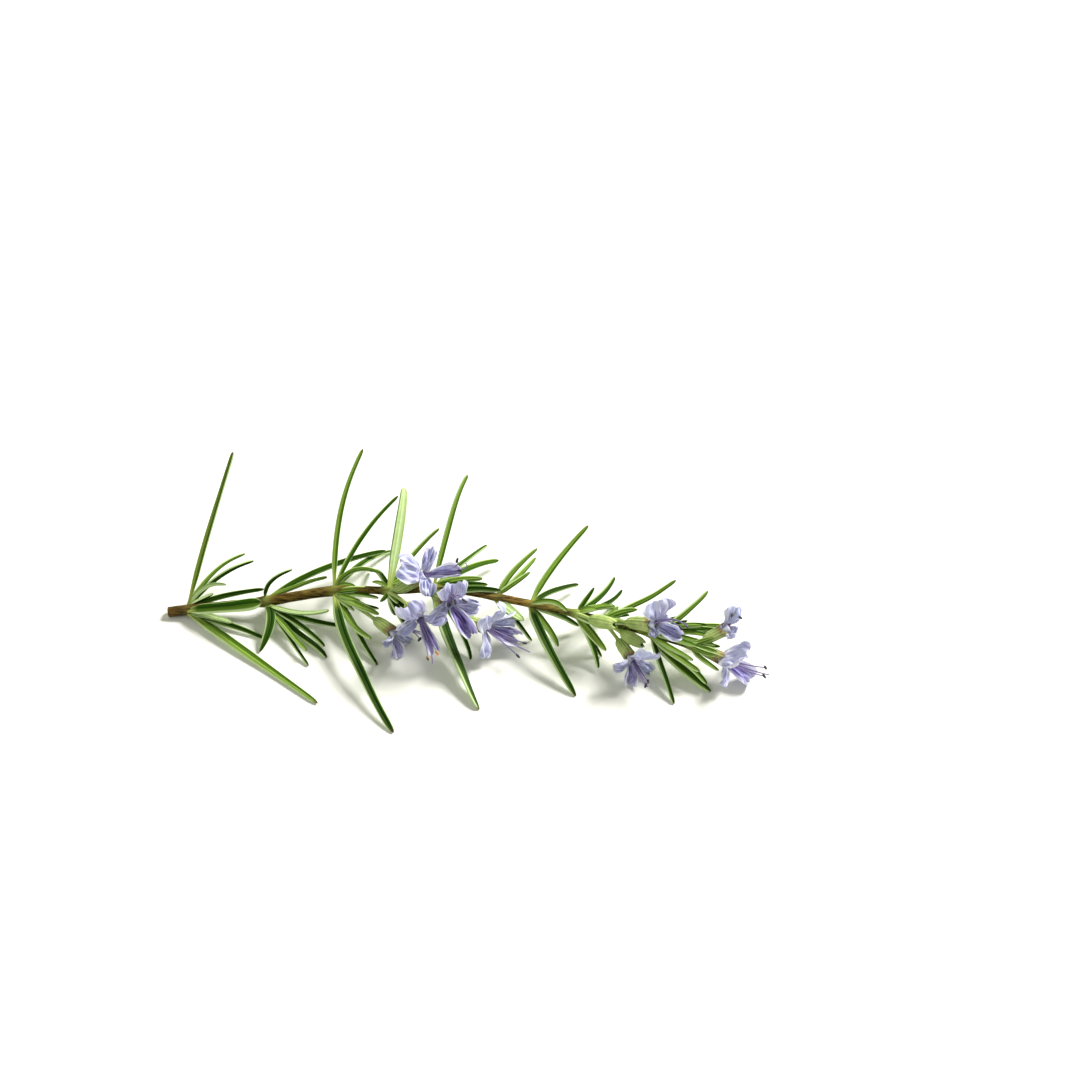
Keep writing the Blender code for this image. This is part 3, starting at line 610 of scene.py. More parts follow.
class Sheet:
    """A material under construction: short calls that each add a node and return its socket."""

    def __init__(self, name: str) -> None:
        """Start a material of a name, with its Principled shader."""
        self.material = bpy.data.materials.new(name)
        self.material.use_nodes = True
        self.tree = self.material.node_tree
        self.shader = self.tree.nodes["Principled BSDF"]

    def feed(self, target: Socket, value: object) -> None:
        """Set a socket, or link another one to it."""
        if isinstance(value, bpy.types.NodeSocket):
            self.tree.links.new(value, target)
        else:
            target.default_value = value

    def node(self, kind: str, settings: dict[str, object] | None = None,
             **inputs: object) -> bpy.types.Node:
        """Add a node.

        Args:
            kind: The node's type, without its ShaderNode prefix.
            settings: Its properties.
            inputs: Values or sockets for its inputs, by name with _ for a blank.

        Returns:
            The node.
        """
        made = self.tree.nodes.new("ShaderNode" + kind)
        for key, value in (settings or {}).items():
            setattr(made, key, value)
        for key, value in inputs.items():
            self.feed(made.inputs[key.replace("_", " ")], value)
        return made

    def math(self, operation: str, first: object, second: object = 0.0) -> Socket:
        """One sum on one or two values."""
        made = self.node("Math", {"operation": operation})
        self.feed(made.inputs[0], first)
        self.feed(made.inputs[1], second)
        return made.outputs[0]

    def times(self, first: object, second: object) -> Socket:
        """Two values multiplied."""
        return self.math("MULTIPLY", first, second)

    def plus(self, first: object, second: object) -> Socket:
        """Two values added."""
        return self.math("ADD", first, second)

    def aside(self, across: Socket) -> Socket:
        """How far a place across a blade or a lobe is from its middle."""
        return self.math("ABSOLUTE", self.math("SUBTRACT", across, 0.5))

    def band(self, value: object, start: float, stop: float, low: float = 0.0,
             high: float = 1.0) -> Socket:
        """A soft step from low to high as a value goes from start to stop."""
        return self.node("MapRange", {"interpolation_type": "SMOOTHSTEP"}, Value=value,
                         From_Min=start, From_Max=stop, To_Min=low, To_Max=high).outputs[0]

    def coats(self, body: object, *coats: tuple[object, object]) -> Socket:
        """Colours laid over a first colour one after another.

        Args:
            body: The first colour.
            coats: The share of each next colour, and the colour.

        Returns:
            The colour that comes out.
        """
        for share, colour in coats:
            made = self.node("Mix", {"data_type": "RGBA"})
            for number, value in ((0, share), (6, body), (7, colour)):
                self.feed(made.inputs[number], value)
            body = made.outputs[2]
        return body

    def ramp(self, value: object, *stops: tuple[float, Colour]) -> Socket:
        """Colours spread over a value from 0 to 1.

        Args:
            value: The value.
            stops: Where each colour stands, and the colour.

        Returns:
            The colour that comes out.
        """
        made = self.node("ValToRGB", Fac=value)
        elements = made.color_ramp.elements
        while len(elements) < len(stops):
            elements.new(0.5)
        for element, (position, colour) in zip(elements, stops):
            element.position, element.color = position, colour
        return made.outputs[0]

    def noise(self, vector: object, scale: float, detail: float = 3.0,
              roughness: float = 0.55) -> Socket:
        """Cloudy noise, from 0 to 1."""
        return self.node("TexNoise", Vector=vector, Scale=scale, Detail=detail,
                         Roughness=roughness).outputs[0]

    def paint(self) -> tuple[Socket, ...]:
        """The four painted values of a piece."""
        made = self.node("Attribute", {"attribute_name": "paint"})
        split = self.node("SeparateColor", Color=made.outputs["Color"])
        return *split.outputs[:3], made.outputs["Alpha"]

    def vector(self, x: object, y: object, z: object) -> Socket:
        """Three values as one vector."""
        return self.node("CombineXYZ", X=x, Y=y, Z=z).outputs[0]

    def place(self) -> Socket:
        """The object's own coordinates, in metres."""
        return self.node("TexCoord").outputs["Object"]

    def bump(self, height: Socket, distance: float, strength: float) -> None:
        """Raise the surface by a height, in metres at its most."""
        made = self.node("Bump", Height=height, Distance=distance, Strength=strength)
        self.feed(self.shader.inputs["Normal"], made.outputs[0])

    def finish(self, **inputs: object) -> Material:
        """Set the shader's inputs, by name with _ for a blank, and return the material."""
        for key, value in inputs.items():
            self.feed(self.shader.inputs[key.replace("_", " ")], value)
        return self.material


@dataclass(frozen=True)
class LeafFinish:
    """Waxy green above with a sunken rib, rolled pale margins, and white felt below. Painted light
    lies over the green: a painted highlight down the middle and along one margin, a painted lit
    half and a painted shaded half, and painted shade towards the sides of the paler leaves.
    """
    deep: Colour = srgb(14, 44, 0)
    green: Colour = srgb(34, 70, 2)
    bright: Colour = srgb(82, 116, 16)
    fresh: Colour = srgb(126, 154, 60)
    olive: Colour = srgb(102, 112, 32)
    margin: Colour = srgb(196, 220, 156)
    felt: Colour = srgb(164, 186, 128)
    rib: Colour = srgb(146, 176, 88)
    root: Colour = srgb(156, 170, 84)
    brown: Colour = srgb(84, 62, 34)

    def make(self) -> Material:
        """Build the material.

        Painted values: place across the blade, place along it, underside, tone.

        Returns:
            The material.
        """
        sheet = Sheet("leaf_skin")
        band, times, plus = sheet.band, sheet.times, sheet.plus
        across, along, under, tone = sheet.paint()
        place, side = sheet.place(), sheet.aside(across)
        flecks = sheet.noise(place, 900.0, 4.0)
        clouds = sheet.noise(place, 160.0, 2.0)
        young = band(tone, 0.1, 0.4)
        light = plus(young, 0.3)
        # The sunken midrib, and on the brighter leaves a wider painted highlight down the middle
        rib = sheet.math("MAXIMUM", band(side, 0.0, 0.05, 0.2, 0.0),
                         times(band(side, 0.04, 0.2, 0.6, 0.0), band(tone, 0.3, 0.5)))
        top = sheet.coats(
            sheet.ramp(tone, (Tone.DEEP.value, self.deep), (Tone.GREEN.value, self.green),
                       (Tone.BRIGHT.value, self.bright), (Tone.FRESH.value, self.fresh),
                       (Tone.OLIVE.value, self.olive)),
            (rib, self.rib),
            # Painted shade towards both sides of the paler leaves, where their rounded tops turn
            # from the light
            (times(band(side, 0.16, 0.36, 0.0, 0.75), young), self.green),
            (times(band(clouds, 0.35, 0.8, 0.05, 0.3), light), self.bright),
            # Painted light on one half of the blade and painted shade on the other
            (times(band(across, 0.5, 0.18, 0.0, 0.5), light), self.fresh),
            (band(across, 0.52, 0.78, 0.0, 0.65), self.green),
            (band(flecks, 0.55, 0.8, 0.0, 0.3), self.deep))
        felt = sheet.coats(
            self.felt, (band(flecks, 0.3, 0.7, 0.0, 0.35), self.margin),
            (band(side, 0.03, 0.08, 0.9, 0.0), self.margin),
            (band(side, 0.34, 0.42, 0.0, 0.85), top))
        # The pale rolled margins, the stronger one also a painted highlight along the leaf's lit
        # edge
        edge = times(plus(band(across, 0.2, 0.08, 0.0, 0.85), band(across, 0.88, 0.94, 0.0, 0.6)),
                     sheet.math("SUBTRACT", 1.0, under))
        body = sheet.coats(
            top, (under, felt), (edge, self.margin),
            (band(along, 0.02, 0.16, 0.9, 0.0), self.root),
            (band(along, 0.965, 1.0, 0.0, 0.8), self.brown))
        wrinkle = sheet.noise(sheet.vector(times(side, 6.0), times(along, 60.0), tone), 1.6)
        sheet.bump(plus(wrinkle, flecks), 0.00012, 0.5)
        return sheet.finish(Base_Color=body, Roughness=plus(times(under, 0.3), 0.5),
                            Specular_IOR_Level=0.05)


@dataclass(frozen=True)
class BarkFinish:
    """Thin ridged bark, brown below and greener towards the tip, with pale wood at the cut and
    painted shade along its underside.
    """
    red: Colour = srgb(86, 58, 24)
    brown: Colour = srgb(102, 82, 24)
    olive: Colour = srgb(82, 74, 22)
    tan: Colour = srgb(146, 114, 54)
    moss: Colour = srgb(108, 112, 50)
    green: Colour = srgb(116, 138, 58)
    dark: Colour = srgb(40, 30, 8)
    grey: Colour = srgb(132, 114, 56)
    knuckle: Colour = srgb(146, 164, 82)
    wood: Colour = srgb(196, 172, 122)
    pith: Colour = srgb(226, 212, 170)

    def make(self) -> Material:
        """Build the material.

        Painted values: height round the stem, place along it, node knuckle, depth into the cut.

        Returns:
            The material.
        """
        sheet = Sheet("stem_bark")
        band = sheet.band
        height, along, knuckle, cut = sheet.paint()
        stretched = sheet.node("Mapping", Vector=sheet.place(), Scale=(0.16, 1.0, 1.0)).outputs[0]
        ridges = sheet.noise(stretched, 1500.0, 4.0, 0.65)
        patches = sheet.noise(stretched, 340.0)
        wood = sheet.ramp(cut, (0.0, self.dark), (0.25, self.wood), (0.6, self.wood),
                          (0.8, self.pith))
        body = sheet.coats(
            sheet.ramp(along, (0.0, self.red), (0.26, self.brown), (0.44, self.olive),
                       (0.66, self.tan), (0.75, self.moss), (1.0, self.green)),
            (band(patches, 0.4, 0.75, 0.0, 0.6), self.grey),
            (band(ridges, 0.62, 0.36), self.dark),
            # Painted shade: darker towards the underside of the stem
            (band(height, 0.5, 0.1, 0.0, 0.6), self.dark),
            (sheet.times(knuckle, band(patches, 0.2, 0.6, 0.5, 1.0)), self.knuckle),
            (band(cut, 0.01, 0.05), wood))
        sheet.bump(sheet.plus(ridges, sheet.times(patches, 0.6)), 0.0003, 0.7)
        return sheet.finish(Base_Color=body, Roughness=0.8, Specular_IOR_Level=0.12)


@dataclass(frozen=True)
class CalyxFinish:
    """A downy ribbed bell, green at its foot and flushed with purple brown at its teeth."""
    green: Colour = srgb(158, 184, 98)
    shade: Colour = srgb(102, 128, 54)
    pale: Colour = srgb(204, 216, 136)
    flush: Colour = srgb(128, 98, 66)

    def make(self) -> Material:
        """Build the material.

        Painted values: rib height, place along the bell, inside, and a spare chance.

        Returns:
            The material.
        """
        sheet = Sheet("calyx_down")
        band = sheet.band
        rib, along, inside, _ = sheet.paint()
        place = sheet.place()
        down = sheet.noise(place, 2600.0, 2.0)
        clouds = sheet.noise(place, 300.0, 2.0)
        body = sheet.coats(
            self.shade, (rib, self.green),
            (band(clouds, 0.35, 0.75, 0.0, 0.6), self.pale),
            (band(down, 0.58, 0.72, 0.0, 0.5), self.pale),
            (sheet.times(band(along, 0.55, 1.0), band(clouds, 0.7, 0.4)), self.flush),
            (inside, self.shade))
        sheet.bump(sheet.plus(down, rib), 0.00016, 0.6)
        return sheet.finish(Base_Color=body, Roughness=0.7, Sheen_Weight=0.12,
                            Sheen_Roughness=0.4, Subsurface_Weight=0.1,
                            Subsurface_Radius=(0.5, 0.8, 0.3), Subsurface_Scale=0.0006)


@dataclass(frozen=True)
class PetalFinish:
    """Thin lilac petals, white in the throat, with violet veins and a streaked lower lip."""
    lilac: Colour = srgb(198, 201, 226)
    blue: Colour = srgb(168, 177, 216)
    white: Colour = srgb(232, 234, 244)
    violet: Colour = srgb(124, 104, 176)
    streak: Colour = srgb(66, 46, 124)

    def make(self) -> Material:
        """Build the material.

        Painted values: place across the lobe, place along it, kind of lobe, depth of violet.

        Returns:
            The material.
        """
        sheet = Sheet("petal_silk")
        band, times = sheet.band, sheet.times
        across, along, kind, depth = sheet.paint()
        side = sheet.aside(across)
        clouds = sheet.noise(sheet.place(), 330.0)
        veins = sheet.noise(sheet.vector(times(across, 26.0), times(along, 3.0),
                                         times(depth, 40.0)), 1.0, 2.0)
        lower = times(band(kind, 0.6, 0.9), depth)
        middle = times(band(side, 0.38, 0.1), band(along, 0.95, 0.6))
        body = sheet.coats(
            self.lilac,
            (band(clouds, 0.3, 0.7), self.blue),
            (band(along, 0.3, 0.0), self.white),
            (band(veins, 0.52, 0.64, 0.0, 0.7), self.violet),
            (times(depth, 0.24), self.violet),
            (times(lower, band(along, 0.1, 0.4, 0.0, 0.6)), self.violet),
            (times(middle, times(lower, 0.9)), self.violet),
            (times(times(band(veins, 0.5, 0.58), middle), lower), self.streak),
            (band(sheet.plus(side, times(lower, 0.05)), 0.42, 0.49, 0.0, 0.65), self.white))
        sheet.bump(sheet.plus(veins, clouds), 0.0003, 0.7)
        return sheet.finish(Base_Color=body, Roughness=0.55, Specular_IOR_Level=0.3,
                            Subsurface_Weight=0.4, Subsurface_Radius=(1.0, 0.95, 1.0),
                            Subsurface_Scale=0.0011, Sheen_Weight=0.15, Sheen_Roughness=0.5)


@dataclass(frozen=True)
class StamenFinish:
    """Lilac filaments that carry dark anthers with a little pollen."""
    lilac: Colour = srgb(150, 132, 184)
    violet: Colour = srgb(74, 58, 104)
    anther: Colour = srgb(44, 40, 52)
    pollen: Colour = srgb(196, 132, 70)

    def make(self) -> Material:
        """Build the material.

        Painted values: nothing, place along the filament, anther, pollen.

        Returns:
            The material.
        """
        sheet = Sheet("stamen")
        _, along, anther, pollen = sheet.paint()
        grain = sheet.noise(sheet.place(), 3000.0, 2.0)
        dusted = sheet.times(pollen, sheet.band(grain, 0.4, 0.6))
        tip = sheet.coats(self.anther, (dusted, self.pollen))
        sheet.bump(grain, 0.0001, 0.5)
        return sheet.finish(Base_Color=sheet.coats(self.lilac, (along, self.violet),
                                                   (anther, tip)), Roughness=0.5)


@dataclass(frozen=True)
class FloorFinish:
    """A plain white surface."""
    white: Colour = srgb(240, 240, 236)

    def make(self) -> Material:
        """Build the material."""
        return Sheet("floor_white").finish(Base_Color=self.white, Roughness=0.9,
                                           Specular_IOR_Level=0.1)


@dataclass
class Stem:
    """The woody stem: a smooth line through its stations, a little square, with bark ridges.

    A wave round it has its count, its phase, how its phase drifts along the stem and its share;
    the cut face has the depths of its rings and how far they stand in.
    """
    steps: int = 26
    around: int = 36
    ridge: float = 0.045
    square: Triple = (4, 0.02, 0.9)
    waves: tuple = ((7, 0.4, 0.11, 0.5), (11, 2.1, -0.17, 0.5), (5, 1.0, 0.31, 0.5),
                    (3, 0.2, 0.83, 0.35))
    knuckle_rise: float = 0.42
    knuckle_reach: float = 1.5
    cut: tuple = ((0.9, 0.10), (0.7, 0.08), (0.45, 0.03), (0.2, 0.0), (0.04, 0.0))

    def stations(self) -> tuple[Array, Array]:
        """The places, mm, and radii, mm, that the stem passes."""
        places = np.array([place for place, _, _ in STATIONS.values()]) + SET_DOWN
        return places, np.array([thickness / 2 for _, thickness, _ in STATIONS.values()])

    def line(self) -> tuple[Array, Array]:
        """The centre line, a Catmull-Rom curve: each stretch is the cubic that leaves and
        meets its ends in the direction of their neighbours on both sides.

        Returns:
            Points of the line, mm, and the stem's radius at each.
        """
        places, radii = self.stations()
        t = (np.arange(self.steps) / self.steps)[None, :, None]
        before, after, start, stop = (rows[:, None, :] for rows in (
            np.concatenate((places[:1], places[:-2])), np.concatenate((places[2:], places[-1:])),
            places[:-1], places[1:]))
        bend = (2 * start + (stop - before) * t
                + (2 * before - 5 * start + 4 * stop - after) * t ** 2
                + (3 * start - before - 3 * stop + after) * t ** 3) / 2
        share = t[..., 0]
        thick = radii[:-1, None] * (1 - share) + radii[1:, None] * share
        points = np.concatenate((bend.reshape(-1, 3), places[-1:]))
        return points, np.append(thick.ravel(), radii[-1])

    def at(self, name: str) -> tuple[Array, Array, float]:
        """Where a whorl sits on the stem, the stem's direction there and its radius, mm."""
        places, radii = self.stations()
        index = list(STATIONS).index(name)
        return places[index], unit(places[index + 1] - places[index - 1]), float(radii[index])

    def build(self, bark: Material) -> None:
        """Make the stem as rings along its line, with a flat cut and a swelling at each whorl.

        The radius is the stem's own, times one plus a four-cornered wave and a few ridge waves
        whose phase drifts along the stem, plus a bell-shaped rise at each whorl.

        Args:
            bark: The stem's material.
        """
        line, radius = self.line()
        gone = np.concatenate(((0.0,), np.cumsum(np.linalg.norm(np.diff(line, axis=0), axis=1))))
        tangent = unit(np.gradient(line, axis=0))
        side = unit(np.cross(tangent, UP))
        places, _ = self.stations()
        swollen = np.array([share for _, _, share in STATIONS.values()])
        reach = np.linalg.norm(line[:, None, :] - places[None, :, :], axis=-1)
        knuckle = (np.exp(-(reach / self.knuckle_reach) ** 2) * swollen).sum(axis=1)
        angle, drift = turns(self.around), gone[:, None]
        corners, pace, share = self.square
        waves = share * np.cos(corners * angle + pace * drift)
        for count, phase, pace, share in self.waves:
            waves = waves + share * np.sin(count * angle + phase + pace * drift)
        full = radius[:, None] * (1 + self.ridge * waves) + self.knuckle_rise * knuckle[:, None]
        rings = carried(line, side, np.cross(side, tangent), full * np.sin(angle),
                        -full * np.cos(angle))
        # The height round the stem is what the bark's painted shade on the underside follows
        paint = painted(rings.shape[:2], (0.5 - 0.5 * np.cos(angle))[None, :],
                        (gone / gone[-1])[:, None], np.clip(knuckle, 0.0, 1.0)[:, None])
        depth, stand = np.array(self.cut).T[..., None, None]
        face = line[0] + (rings[0] - line[0]) * (1 - depth) + tangent[0] * stand
        skin = Skin()
        skin.rings(np.concatenate((face, rings)), np.concatenate((
            painted(face.shape[:2], 0.0, 0.0, 0.0, depth[..., 0]), paint)))
        skin.piece("stem_bark", bark, "stem_bark", "stem")


# Half of a leaf's section: share of the half width, share of the thickness, underside
LEAF_SECTION = np.array((
    (0.00, 0.12, 0.0), (0.09, 0.18, 0.0), (0.22, 0.36, 0.0), (0.45, 0.46, 0.0),
    (0.70, 0.40, 0.0), (0.88, 0.20, 0.0), (0.98, -0.06, 0.0), (1.00, -0.26, 0.1),
    (0.93, -0.44, 0.5), (0.82, -0.50, 1.0), (0.70, -0.47, 1.0), (0.58, -0.37, 1.0),
    (0.40, -0.31, 1.0), (0.22, -0.32, 1.0), (0.11, -0.40, 1.0), (0.00, -0.45, 1.0)))


@dataclass
class Blade:
    """A needle leaf: a section with a sunken rib and rolled margins, carried on an arc."""
    form: Leaf
    rings: int = 30
    crowding: float = 0.75
    thickness: float = 0.85
    stalk: float = 0.5
    stalk_end: float = 0.22
    narrows_from: float = 0.4
    bluntness: float = 1.6
    roundness: float = 2.6
    sway: float = 0.12
    sway_length: float = 25.0
    twist: float = 0.3
    tone_spread: float = 0.07

    def widths(self, t: Array, length: float) -> Array:
        """The share of its full width that the leaf has along its length: it swells from a
        narrow stalk, narrows by its taper and closes in a blunt tip.

        Args:
            t: Shares of its length.
            length: Its length, mm.

        Returns:
            The share of the width at each.
        """
        blunt = 1 - min(0.4, self.bluntness * self.form.width / length)
        swell = self.stalk + (1 - self.stalk) * smooth(t, 0.0, self.stalk_end)
        swell = swell * (1 - self.form.taper * smooth(t, self.narrows_from, 1.0))
        end = np.clip((t - blunt) / (1 - blunt), 0.0, 1.0)
        return swell * np.sqrt(1 - 0.985 * end ** self.roundness)

    def add_to(self, skin: Skin, root: Array, tip: Array, draw: Draw) -> None:
        """Add the leaf to a skin.

        The middle line is root + 2t(1-t) handle + t^2 chord, with the handle at half the chord
        plus twice the bow.

        Args:
            skin: The piece that the leaf is part of.
            root: Where the leaf leaves the stem, mm.
            tip: Where it ends, mm.
            draw: The source of its small irregularities.
        """
        chord = tip - root
        length = float(np.linalg.norm(chord))
        even = np.linspace(0.0, 1.0, self.rings)
        t = self.crowding * (1 - np.cos(math.pi * even)) / 2 + (1 - self.crowding) * even
        handle = chord / 2 + 2 * np.array(self.form.bow)
        line = root + (2 * t * (1 - t))[:, None] * handle + (t ** 2)[:, None] * chord
        ahead = unit(chord)
        hint = np.array(self.form.face.value)
        hint = unit(hint - ahead * (hint @ ahead))
        sway = self.sway * min(length / self.sway_length, 1.2) * draw.normal(size=2)
        wave = np.sin(math.pi * t * draw.uniform(1.5, 2.4)) * np.sin(math.pi * t)
        line = line + wave[:, None] * (sway[0] * np.cross(hint, ahead) + sway[1] * hint)
        tangent = unit(np.gradient(line, axis=0))
        upward = unit(hint - tangent * (tangent @ hint)[:, None])
        side = np.cross(upward, tangent)
        roll = (self.twist * draw.normal() * t)[:, None]
        side, upward = (side * np.cos(roll) + upward * np.sin(roll),
                        upward * np.cos(roll) - side * np.sin(roll))
        swell = self.widths(t, length)[:, None]
        thick = (self.thickness * (0.75 + 0.25 * smooth(t, 0.0, 0.15)))[:, None] * np.sqrt(swell)
        section = np.concatenate((LEAF_SECTION[::-1], LEAF_SECTION[1:-1] * (-1.0, 1.0, 1.0)))
        rings = carried(line, side, upward, section[:, 0] * self.form.width / 2 * swell,
                        section[:, 1] * thick)
        spread = draw.uniform(-self.tone_spread, self.tone_spread)
        tone = np.clip(self.form.tone.value + spread, 0.0, 1.0)
        # Across runs the other way on leaves that reach to the far side, which sets on which side
        # of each leaf the painted lit half and the brighter margin lie
        across = section[:, 0] / 2 * (-1.0 if chord[1] > 0.0 else 1.0) + 0.5
        skin.rings(rings, painted(rings.shape[:2], across, t[:, None], section[:, 2], tone))


@dataclass
class Calyx:
    """The ribbed two-lipped bell that holds a flower, on its short stalk.

    A tooth has its angle, height and width; the profile, the bud's narrowing and the stalk
    each have shares of the length, and radii or shares of one.
    """
    form: Flower
    rim: float = -1.7
    foot: float = -7.3
    wall: float = 0.25
    ribs: int = 13
    around: int = 52
    teeth: tuple = ((math.pi / 2, 1.3, 0.75), (3.95, 1.2, 0.42), (5.47, 1.2, 0.42))
    bud_teeth: float = 0.7
    profile: tuple = ((0.0, 0.07, 0.2, 0.45, 0.75, 1.0), (0.5, 0.95, 1.35, 1.58, 1.62, 1.65))
    bud: tuple = ((0.0, 0.5, 0.85, 1.0), (1.0, 1.0, 0.84, 0.5))
    stalk: tuple = ((0.0, 0.15, 0.85, 1.0), (0.8, 0.55, 0.48, 0.56))

    def add_to(self, skin: Skin, place: Array, along: Array, radius: float, draw: Draw) -> None:
        """Add the bell and its stalk to a skin.

        The bell's radius follows its profile, times one plus a wave of ribs. Its rim stands
        higher in three teeth, one above and two below, and its wall turns in over the rim and
        runs back down inside.

        Args:
            skin: The piece that the calyx is part of.
            place: The whorl's place on the stem, mm.
            along: The stem's direction there.
            radius: The stem's radius there, mm.
            draw: The source of its small irregularities.
        """
        form = self.form
        at = Place.looking(*form.ends(place), np.array(form.upward))
        angle = turns(self.around)
        t = np.concatenate((np.linspace(0.0, 1.0, 15) ** 1.3, (1.0, 0.8, 0.55, 0.3)))[:, None]
        outer = (np.arange(len(t)) < 15)[:, None]
        teeth = sum(high * np.exp(-((angle - turn) / wide) ** 2)
                    for turn, high, wide in self.teeth)
        bell = np.interp(t, *self.profile)
        rib = 0.5 + 0.5 * np.cos(self.ribs * angle)
        tall, clear = t, rib
        if not form.number:
            teeth = teeth * self.bud_teeth
            bell = bell * np.interp(t, *self.bud)
            tall, clear = t / 2, rib / 2 + 0.5
        bell = bell * form.bell ** 0.6
        base = self.foot * form.bell
        height = base + (self.rim - base) * t + teeth * t ** 3
        radii = bell * (1 + 0.10 * teeth * t ** 4) * (1 + 0.045 * (rib - 0.5))
        radii = np.where(outer, radii, radii - self.wall)
        chance = draw.uniform()
        paint = painted(radii.shape, clear, tall, 1.0 - outer, chance)
        skin.rings(at.put(revolved(radii, angle, height)), paint)
        end = at.put(np.array((0.0, 0.0, base + 0.35)))
        out = unit(end - place - along * ((end - place) @ along))
        start = place + out * radius * 0.7
        share = np.linspace(0.0, 1.0, 12)
        line = start + share[:, None] * (end - start)
        line = line + (np.sin(math.pi * share) * 0.35)[:, None] * UP
        skin.tube(line, np.interp(share, *self.stalk), 10, (0.6, 0.15, 0.0, chance))


@dataclass
class Petal:
    """A lobe as a thin sheet, bent along an arc away from the tube and ruffled at its rim."""
    lobe: Lobe
    size: float
    depth: float
    rows: int = 34
    columns: int = 35
    thickness: float = 0.2
    corner: float = 0.13
    widest: float = 0.806
    rounded_from: float = 0.62
    throat: float = 0.75
    sunk: float = 0.9
    crumple: float = 0.21
    crumples: tuple = ((5, 4), (8, -7), (3, 10), (12, 4), (15, -9))
    fold: float = 0.3
    fold_width: float = 0.14

    def lift(self, across: Array, t: Array, phase: Array, turns_: Array) -> Array:
        """How far the sheet stands off its arc: it is hollowed across by cup x^2 t, waves that
        grow towards the rim ruffle it, shorter crossed waves crumple it, and a fold runs down
        its middle.

        Args:
            across: Place across the lobe, -1 to 1.
            t: Place along it, 0 to 1.
            phase: Where its three ruffles start, radians.
            turns_: Where its crumples start, radians.

        Returns:
            Heights by row and column, mm.
        """
        lobe, edge = self.lobe, np.abs(across)
        ruffle = (np.sin(2.6 * across * math.pi / 2 + phase[0] + 2.0 * t) * t ** 2
                  + 0.7 * np.sin(9.0 * t + phase[1]) * edge ** 3 * t
                  + 0.35 * np.sin(7.0 * across + phase[2]) * t ** 4)
        crumple = sum(np.sin(wide * across + long * t + turn)
                      for (wide, long), turn in zip(self.crumples, turns_))
        ruffle = ruffle * lobe.ruffle + self.crumple * crumple * smooth(t, 0.05, 0.5)
        fold = self.fold * np.exp(-(across / self.fold_width) ** 2) * t * (1 - t) * 2
        return self.size * (lobe.cup * across ** 2 * t + ruffle - fold)

    def add_to(self, skin: Skin, place: Place, draw: Draw) -> None:
        """Add the lobe to a skin.

        At a share t of its length the lobe stands at the opening angle start + swing t, so that
        its middle is an arc. It widens from its claw with the sine of t, and its end is rounded
        and notched.

        Args:
            skin: The piece that the petal is part of.
            place: The frame of the open flower, Z to where it faces and Y to its upper lip.
            draw: The source of its ruffles.
        """
        lobe = self.lobe
        across, t = np.meshgrid(np.linspace(-1.0, 1.0, self.columns),
                                np.linspace(0.0, 1.0, self.rows))
        edge = np.abs(across)
        t = t * (1 - lobe.notch * (1 - edge) ** 2 - self.corner * edge ** 4)
        widening = np.clip((t - lobe.stalk) / (self.widest - lobe.stalk), 0.0, 1.0)
        spread = lobe.claw + (1 - lobe.claw) * np.sin(math.pi / 2 * widening)
        past = np.maximum(t - self.rounded_from, 0.0)
        spread = spread * np.sqrt(np.maximum(1 - past ** 2 / 0.2, 0.0))
        start, swing = math.radians(lobe.open_from), math.radians(lobe.open_to - lobe.open_from)
        angle = start + swing * t
        arc = lobe.length * self.size / swing
        out = self.throat + arc * (math.cos(start) - np.cos(angle))
        ahead = -self.sunk + arc * (np.sin(angle) - math.sin(start))
        phase, turns_ = (draw.uniform(0.0, 2 * math.pi, size=size) for size in (3, 5))
        lift = self.lift(across, t, phase, turns_)
        spread = spread * (1 + 0.05 * np.sin(16.0 * t + phase[1]) * t)
        points = np.stack((across * lobe.width * self.size / 2 * spread,
                           out - lift * np.cos(angle), ahead + lift * np.sin(angle)), axis=-1)
        cos, sin = math.cos(math.radians(lobe.turn)), math.sin(math.radians(lobe.turn))
        spin = np.array(((cos, sin, 0.0), (-sin, cos, 0.0), (0.0, 0.0, 1.0)))
        thick = self.thickness * (0.45 + 0.55 * (1 - edge ** 4) * (1 - t ** 6))
        depth = np.clip(self.depth + draw.uniform(-0.1, 0.1), 0.0, 1.0)
        paint = painted(t.shape, across / 2 + 0.5, t, lobe.kind.value, depth)
        skin.slab(place.put(points @ spin), paint, thick)


